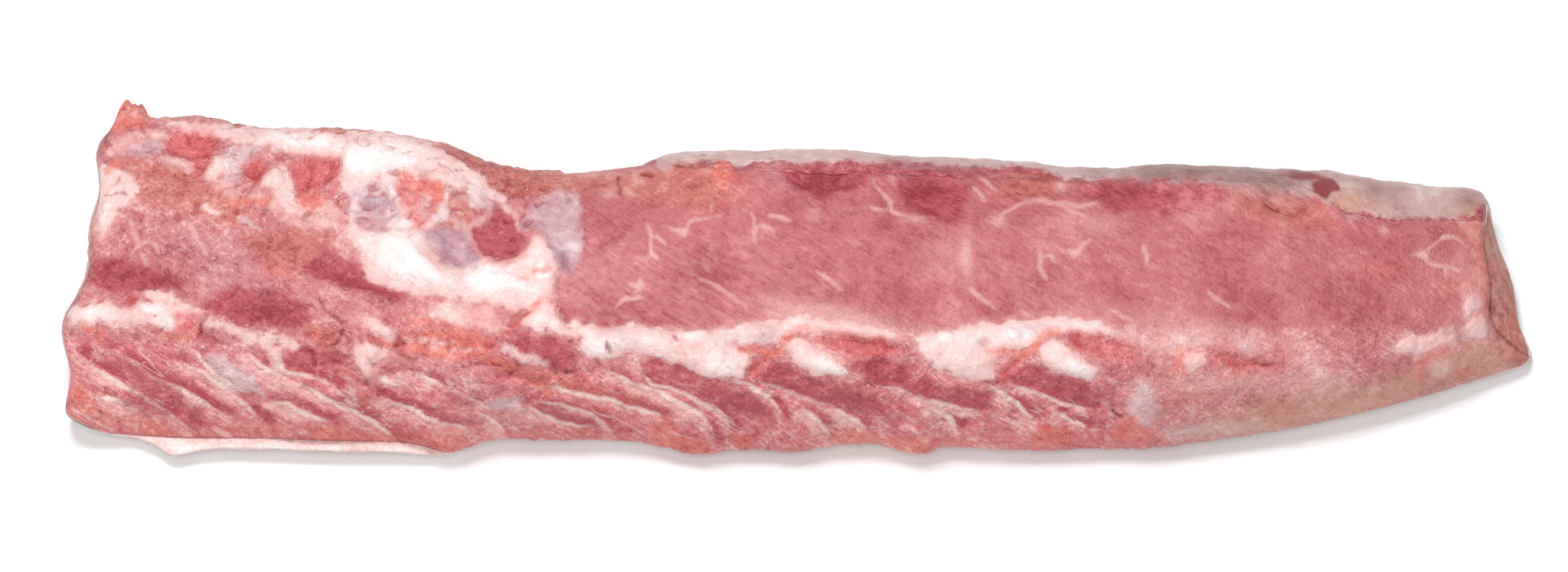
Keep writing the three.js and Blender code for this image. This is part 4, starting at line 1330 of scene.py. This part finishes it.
class Finish:
    """A material that is built up from nodes."""

    def __init__(self, name):
        self.material = bpy.data.materials.new(name)
        self.material.use_nodes = True
        self.tree = self.material.node_tree
        self.tree.nodes.clear()
        spot = self.node("TexCoord", out="Object")
        self.place = self.node("VectorMath", {"operation": "SCALE"}, {0: spot, "Scale": 1 / MM})

    def node(self, kind, settings=(), sockets=(), out=0):
        made = self.tree.nodes.new("ShaderNode" + kind)
        for name, value in dict(settings).items():
            setattr(made, name, value)
        for name, value in dict(sockets).items():
            if isinstance(value, Shade):
                self.tree.links.new(value.socket, made.inputs[name])
            else:
                made.inputs[name].default_value = value
        return Shade(self, made.outputs[out]) if len(made.outputs) else None

    def mask(self, name, out="Fac"):
        return self.node("Attribute", {"attribute_name": name}, out=out)

    def noise(self, size, detail=2, rough=0.5, place=None, bend=0.0):
        """Unevenness from 0 to 1 with swells of this size in millimetres."""
        sockets = {"Vector": place or self.place, "Scale": 1 / size, "Detail": detail, "Roughness": rough}
        return self.node("TexNoise", {}, {**sockets, "Distortion": bend})

    def blend(self, share, first, second):
        sockets = {0: share, 6: first, 7: second}
        return self.node("Mix", {"data_type": "RGBA", "clamp_factor": True}, sockets, out=2)

    def surface(self, base, rough, constants, height=None):
        """The material, with relief where a height in millimetres is given."""
        sockets = {"Base Color": base, "Roughness": rough, **constants}
        if height:
            sockets["Normal"] = self.node("Bump", {}, {"Height": height, "Distance": MM, "Strength": 1.0})
        self.node("OutputMaterial", {}, {"Surface": self.node("BsdfPrincipled", {}, sockets)})
        return self.material


def three_tones(dark, mid, light):
    return {"dark": colour(*dark), "mid": colour(*mid), "light": colour(*light)}


MUSCLE = three_tones((178, 90, 94), (198, 114, 116), (214, 138, 136))
COARSE = three_tones((166, 80, 86), (208, 131, 132), (240, 188, 183))
BUNDLE = three_tones((186, 74, 85), (220, 127, 130), (246, 184, 178))
CRIMSON_TONES = three_tones((152, 52, 62), (184, 84, 92), (214, 128, 130))
BROWN_TONES = three_tones((164, 76, 66), (202, 118, 104), (232, 166, 150))
BLOOD_TONES = three_tones((196, 74, 78), (218, 110, 109), (240, 164, 158))
CORAL_TONES = three_tones((204, 82, 68), (226, 124, 110), (244, 178, 165))
PINK_TONES = three_tones((224, 142, 138), (240, 186, 180), (252, 224, 218))
FAT_TONES = three_tones((234, 182, 177), (246, 211, 207), (253, 233, 230))
FILM_TONES = three_tones((196, 154, 156), (222, 192, 192), (244, 228, 228))
LILAC_TONES = three_tones((188, 136, 146), (212, 174, 180), (240, 218, 222))
VIOLET_TONES = three_tones((150, 98, 116), (176, 130, 145), (202, 164, 176))
TAN_TONES = three_tones((186, 122, 100), (214, 156, 134), (238, 196, 174))
BAND_TONES = three_tones((192, 144, 140), (210, 172, 168), (232, 208, 205))
DUSK_TONES = three_tones((144, 100, 96), (166, 124, 120), (190, 154, 150))
WHITE = colour(254, 249, 248)
CREAM = colour(255, 228, 218)
DARK_BLOOD_AND_SHADE = colour(140, 44, 46)
# painted shade for the hollows of the relief
HOLLOW_SHADE_RED = colour(168, 66, 66)


# The tissues from the lowest to the topmost: the mask, the tones, how far in from its edge each tissue starts
# to show and how far in it shows in full, in millimetres, and how well it covers what is below.
TISSUES = [
    ("pink_mm", PINK_TONES, -3.0, 3.0, 0.85),
    ("crimson_mm", CRIMSON_TONES, -4.0, 2.0, 0.92),
    ("brown_mm", BROWN_TONES, -3.0, 3.5, 0.8),
    ("fat_mm", FAT_TONES, -1.4, 1.2, 0.97),
    ("film_mm", FILM_TONES, -2.0, 1.6, 0.7),
    ("gristle_mm", BROWN_TONES, -2.5, 1.2, 0.92),
    ("lilac_mm", LILAC_TONES, -2.2, 2.0, 0.9),
    ("violet_mm", VIOLET_TONES, -3.2, 2.4, 0.9),
    ("meat_mm", CRIMSON_TONES, -3.0, 2.2, 0.9),
    ("blood_mm", BLOOD_TONES, -3.4, 2.4, 0.85),
    ("coral_mm", CORAL_TONES, -1.8, 1.3, 0.85),
]
PALE = ("pink_mm", "fat_mm", "film_mm", "lilac_mm", "violet_mm")  # tissues that are cloudy and not grained
# The soft changes of tone on the lean, in their order: the tones, and how much of them shows where the
# blotches are darkest and how much more where they are lightest.
TINTS = {
    "lilac": (LILAC_TONES, 0.3, 0.8),
    "warm": (CORAL_TONES, 0.3, 0.9),
    "deep": (CRIMSON_TONES, 0.2, 0.9),
    "tan": (TAN_TONES, 0.75, 0.4),
}


class Tissue(Finish):
    """A finish with the layers of tissue that the lean and the fat share."""

    def __init__(self, name):
        super().__init__(name)
        self.ragged = self.uneven(5.5, 3) * 6 + self.uneven(1.5) * 1.1

    def uneven(self, size, detail=2, rough=0.5):
        """Unevenness from -0.5 to 0.5."""
        return self.noise(size, detail, rough) - 0.5

    def threads(self, width, size, detail=2, rough=0.5, place=None, bend=0.0):
        """Thin crooked lines, 1 along their middle and 0 away from them."""
        return 1 - abs(self.noise(size, detail, rough, place, bend) - 0.5).rise(0.0, width)

    def edged(self, name):
        """A tissue's mask in millimetres, with a ragged edge."""
        return self.mask(name) + self.ragged

    def tones(self, tone, three):
        """The colours of a tissue where its tone goes from 0, dark, to 1, light."""
        lower = self.blend(tone.rise(0.1, 0.5), three["dark"], three["mid"])
        return self.blend(tone.rise(0.5, 0.9), lower, three["light"])

    def tissues(self, base, tone):
        """Patches of each tissue, which are softer on the rump half."""
        soft = self.mask("soft")
        keen = 1 - soft * 0.6
        cloud = self.uneven(15, 3) * 1.7 + self.uneven(4) * 0.5 + (tone - 0.5) * 0.15 + 0.55
        for name, three, low, high, cover in TISSUES:
            share = (self.edged(name) * keen).rise(low, high) * (cover - soft * 0.25)
            base = self.blend(share, base, self.tones(cloud if name in PALE else tone, three))
        return base

    def fat_shades(self, base):
        """Folds, grey spots and pink edges in the fat. The folds are painted crease shade, in a darker pink.
        """
        fat, edged = self.mask("fat_mm"), self.edged("fat_mm")
        # painted crease shade along the folds, in a darker pink
        folds = self.threads(0.025, 7, bend=0.5) * fat.rise(0.5, 3)
        base = self.blend(folds * 0.25, base, PINK_TONES["dark"])
        grey = self.noise(11, 3, 0.55).rise(0.5, 0.72) * edged.rise(0.0, 2.5)
        base = self.blend(grey * 0.55, base, FILM_TONES["mid"])
        pink = (1 - edged.rise(0.5, 5.0)) * fat.rise(-1.0, 1.0)
        return self.blend(pink * 0.5, base, PINK_TONES["mid"])

    def layers(self, base, tone):
        """All that lies on the base: a pink halo round the fat, the tissues, pores and the brightest fat."""
        base = self.blend(self.edged("fat_mm").rise(-5.0, 0.5) * 0.45, base, PINK_TONES["mid"])
        base = self.fat_shades(self.tissues(base, tone))
        holes = 1 - self.node("TexVoronoi", {}, {"Vector": self.place, "Scale": 0.55}).rise(0.12, 0.34)
        base = self.blend(holes * self.mask("pores_mm").rise(-1.5, 1.5) * 0.6, base, CRIMSON_TONES["dark"])
        base = self.blend(self.edged("bright_mm").rise(-1.5, 3.5) * 0.65, base, WHITE)
        return self.blend(self.edged("cream_mm").rise(-1.8, 1.6) * 0.6, base, PINK_TONES["light"])

    def dark_lines(self, base):
        """Slits and spots of dark blood; the slits and the lines under lumps are partly painted shade."""
        dark = (self.mask("dark_mm") + self.ragged * 0.5).rise(-1.2, 1.2)
        return self.blend(dark * 0.9, base, DARK_BLOOD_AND_SHADE)


class LeanMeat(Tissue):
    """The finish of the lean."""

    def __init__(self):
        super().__init__("lean_meat")
        self.grain = self.mask("grain", "Vector")
        self.eye, self.strip = self.mask("eye"), self.mask("strip")
        self.fibre = self.noise(1.0, 2, 0.55, self.grain)
        self.fine = self.noise(1.4, 2, 0.6)
        self.mid = self.noise(3, 3, 0.6)
        self.blotch = self.noise(7, 3, 0.6)
        self.thin = self.uneven(3) * 2.0 + self.uneven(9, 1) * 1.6
        self.septa = (1 - (self.mask("septa_mm") + self.thin * 0.7).rise(0.1, 1.9)) * self.strip

    def tone(self):
        """Light and dark meat. The eye muscle has broader changes of tone than the rest."""
        keen = 0.7 - self.eye * 0.25
        small = (self.fibre - 0.5) * (0.45 + self.eye * 0.25)
        small = small + (self.fine - 0.5) * keen + (self.mid - 0.5) * keen
        broad = (self.blotch - 0.5) * (0.9 + self.eye * 0.2) + self.uneven(38) * (0.9 + self.eye * 0.7)
        return small + broad + 0.5

    def muscles(self, tone):
        """The eye muscle, the coarser meat round it, and the chine face's bundles, with painted light and
        shade by each sheet.
        """
        base = self.blend(self.eye, self.tones(tone, COARSE), self.tones(tone, MUSCLE))
        # painted light on one side of each white sheet, painted shade on the other
        painted_light = 1 - self.mask("painted_light_mm").rise(0.0, 4.5)
        shade = 1 - self.mask("shade_mm").rise(0.0, 4.5)
        return self.blend(self.strip, base, self.tones(tone + painted_light * 0.3 - shade * 0.4, BUNDLE))

    def hues(self, base, tone):
        """Broad patches of browner and of redder meat, and pale specks outside the eye muscle: partly fat,
        partly painted glints.
        """
        hue = self.noise(27, 3)
        brown = hue.rise(0.48, 0.78) * (1 - self.eye * 0.6)
        base = self.blend(brown * 0.5, base, self.tones(tone, BROWN_TONES))
        red = (1 - hue.rise(0.22, 0.52)) * (1 - self.eye * 0.5)
        base = self.blend(red * 0.55, base, self.tones(tone, CRIMSON_TONES))
        # pale specks: partly specks of fat, partly painted glints
        fat_flecks_and_glints = self.noise(2.2, 3, 0.6).rise(0.58, 0.68) * self.noise(16).rise(0.42, 0.6)
        return self.blend(fat_flecks_and_glints * (1 - self.eye) * 0.6, base, PINK_TONES["light"])

    def tints(self, base, tone, raw_tone):
        """The soft changes of tone that were read off and listed."""
        own = {"deep": raw_tone, "tan": (tone - 0.5) * 0.6 + 0.5}
        for name, (three, least, more) in TINTS.items():
            share = self.mask(name) * (least + self.blotch * more)
            base = self.blend(share, base, self.tones(own.get(name, tone), three))
        return base

    def top_band(self, base, tone):
        """The band of fat along the belly edge."""
        band = (self.mask("band_mm") + (self.mid - 0.5) * 5 + (self.fibre - 0.5) * 3).rise(-1.0, 2.0)
        base = self.blend(band * 0.9, base, self.tones((tone - 0.5) * 0.5 + 0.5, BAND_TONES))
        return self.blend(self.mask("dusk") * 0.8, base, self.tones(tone, DUSK_TONES))

    def marbling(self, base):
        """Threads in the bundles, thin broken veins that follow the grain, and pale spots."""
        threads = self.threads(0.035, 4.5, 2, 0.5, self.grain, 0.4) * self.noise(14).rise(0.45, 0.6)
        base = self.blend(threads * self.strip * 0.5, base, PINK_TONES["light"])
        veins = self.threads(0.05, 2.6, 3, 0.55, self.grain, 0.6) * self.noise(11).rise(0.48, 0.66)
        base = self.blend(veins * (0.6 - self.eye * 0.4), base, PINK_TONES["mid"])
        return self.blend(self.mask("pale") * (0.3 + self.fine * 0.9), base, FAT_TONES["dark"])

    def sheets(self, base):
        """The white sheets between the bundles, and the veins of the muscles."""
        base = self.blend(self.septa * 0.85, base, CREAM)
        vein = 1 - (self.mask("veins_mm") + self.thin * 0.6).rise(-0.4, 2.1)
        return self.blend(vein * 0.85, base, FAT_TONES["dark"])

    # Painted shade: the hollows of the relief are darkened towards a dark red.
    def hollows(self, base):
        share = self.mask("hollow").rise(0.25, 1.6) * (0.6 - self.strip * 0.25)
        return self.blend(share, base, HOLLOW_SHADE_RED)

    def cut_faces(self, base):
        """The two cut faces: brown at the rump end, and at the shoulder end paler, with a pink rim."""
        cut, mottle = self.mask("cut"), self.noise(5, 4, 0.65)
        face = self.tones(mottle * 1.4 - 0.25, BROWN_TONES)
        rim, heart = self.tones(mottle * 1.6 - 0.2, PINK_TONES), self.tones(mottle * 1.6 - 0.3, COARSE)
        face = self.blend(self.mask("shoulder") * 0.9, face, self.blend(cut.rise(4, 22), rim, heart))
        face = self.blend(self.threads(0.05, 15) * 0.2, face, CREAM)
        return self.blend(cut.rise(0.0, 1.2).most(self.mask("rump_rim") * 0.65), base, face)

    def relief(self):
        """Fibres, small lumps and sheets. The fat is smoother."""
        fat = self.mask("fat_mm").rise(-1, 1)
        height = (self.fibre - 0.5) * 0.45 + (self.fine - 0.5) * (0.75 - fat * 0.5)
        return height + (self.mid - 0.5) * (1.3 - fat * 0.3) + self.septa * 0.15

    def roughness(self):
        """Skins, blood and films are wetter, with glints outside the eye muscle. The rump end is drier."""
        wet = self.mask("lilac_mm").rise(-1, 1)
        for name in ("blood_mm", "film_mm"):
            wet = wet.most(self.mask(name).rise(-1, 1))
        glints = self.noise(1.7).rise(0.55, 0.63) * self.noise(10).rise(0.48, 0.6) * (1 - self.eye * 0.9)
        return 0.5 + (self.mid - 0.5) * 0.3 - wet * 0.14 - glints * 0.36 + self.mask("rump_rim") * 0.2


def lean_finish():
    meat = LeanMeat()
    tone = meat.tone()
    raw_tone = tone - meat.mask("deep") * 0.35
    base = meat.hues(meat.muscles(tone), tone)
    base = meat.tints(base, tone, raw_tone)
    base = meat.top_band(base, tone)
    base = meat.sheets(meat.marbling(base))
    base = meat.layers(base, raw_tone)
    base = meat.dark_lines(meat.hollows(base))
    constants = {"Specular IOR Level": 0.42, "IOR": 1.4, "Coat Weight": 0.06, "Coat Roughness": 0.16}
    return meat.surface(meat.cut_faces(base), meat.roughness(), constants, meat.relief())


def fat_finish():
    fat = Tissue("pork_fat")
    lumps, fine, broad = fat.uneven(6, 3, 0.6), fat.uneven(1.4, 3, 0.6), fat.uneven(30)
    drawn_out = fat.node("VectorMath", {"operation": "MULTIPLY"}, {0: fat.place, 1: (0.35, 1.0, 1.0)})
    streak = fat.noise(3.2, 3, 0.6, drawn_out)
    tone = lumps * 1.4 + fine * 1.4 + broad * 0.8 + (streak - 0.5) * 1.5 + 0.5
    calm = lumps * 0.9 + broad * 1.4 + (streak - 0.5) * 0.7 + 0.55

    # the band along the belly edge, darker and calmer, with muscle showing where it is thin
    band = fat.mask("up").rise(25, 40)
    base = fat.blend(band, fat.tones(tone + 0.15, FAT_TONES), fat.tones(calm, BAND_TONES))
    base = fat.blend(band * fat.mask("dusk"), base, fat.tones(calm - 0.25, DUSK_TONES))
    base = fat.blend(band * fat.mask("warm") * 0.9, base, fat.tones(calm, TAN_TONES))
    base = fat.blend(band * streak.rise(0.56, 0.72) * 0.25, base, DUSK_TONES["mid"])
    muscle = 1 - (fat.mask("band_mm") + fat.uneven(3, 3, 0.6) * 6).rise(-1.0, 2.0)
    base = fat.blend(band * muscle * 0.9, base, fat.tones(tone - 0.1, CRIMSON_TONES))

    base = fat.dark_lines(fat.layers(base, tone))
    constants = {"Specular IOR Level": 0.5, "IOR": 1.4, "Coat Weight": 0.1, "Coat Roughness": 0.2}
    return fat.surface(base, 0.4 + fine * 0.3, constants, lumps * 1.2 + fine * 0.8)


# ---------- The scene ----------
def dress():
    lean = lean_piece()
    fat = fat_piece()
    for piece, node, slot, finish in (
        (lean, "lean", "lean_meat", lean_finish()),
        (fat, "fat_cap", "pork_fat", fat_finish()),
    ):
        piece.data.materials.append(finish)
        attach(piece, "root")
        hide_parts(node)


FLOOR_HALF = 4.0  # half the floor's side, in metres
SKY_STRENGTH = 0.3
# Each light's place and size in metres, and its power in watts.
LIGHTS = {
    "key": ((-0.35, 0.5, 2.5), 0.7, 39.5),
    "fill": ((-0.3, -1.15, 2.4), 1.6, 27.5),
}
LIT_PLACE = (0, 0, 0.03)  # what both lights face
SIGHT_END = 20  # how far the camera sees, in metres


def turned_to(thing, place, target):
    """Puts a light or the camera at its place, with its face to the target."""
    thing.location = place
    thing.rotation_euler = (Vector(target) - Vector(place)).to_track_quat("-Z", "Y").to_euler()


def floor_piece():
    corners = [(x * FLOOR_HALF, y * FLOOR_HALF, 0) for x, y in ((-1, -1), (1, -1), (1, 1), (-1, 1))]
    mesh = bpy.data.meshes.new("floor")
    mesh.from_pydata(corners, [], [(0, 1, 2, 3)])
    white = Finish("plain_floor")
    mesh.materials.append(white.surface(colour(249, 252, 252), 0.9, {"Specular IOR Level": 0.0}))
    return placed("floor", mesh)


def lights():
    world = bpy.data.worlds.new("studio")
    bpy.context.scene.world = world
    world.use_nodes = True
    sky = world.node_tree.nodes["Background"]
    sky.inputs["Color"].default_value = (1.0, 1.0, 1.0, 1)
    sky.inputs["Strength"].default_value = SKY_STRENGTH
    for name, (place, size, power) in LIGHTS.items():
        light = bpy.data.lights.new(name, "AREA")
        light.size = size
        light.energy = power
        turned_to(placed(name, light), place, LIT_PLACE)


def camera():
    view = bpy.data.cameras.new("view")
    view.type = "PERSP"
    view.lens = CAMERA["lens"]
    view.sensor_width = CAMERA["film"]
    view.clip_end = SIGHT_END
    holder = placed("view", view)
    target = Vector(CAMERA["target"]) * MM
    elevation = math.radians(CAMERA["elevation"])
    towards = Vector((0, -math.cos(elevation), math.sin(elevation)))
    turned_to(holder, target + CAMERA["away"] * MM * towards, target)
    bpy.context.scene.camera = holder


def studio():
    floor = floor_piece()
    lights()
    camera()
    bpy.context.scene.view_settings.view_transform = "Standard"


studio()
dress()
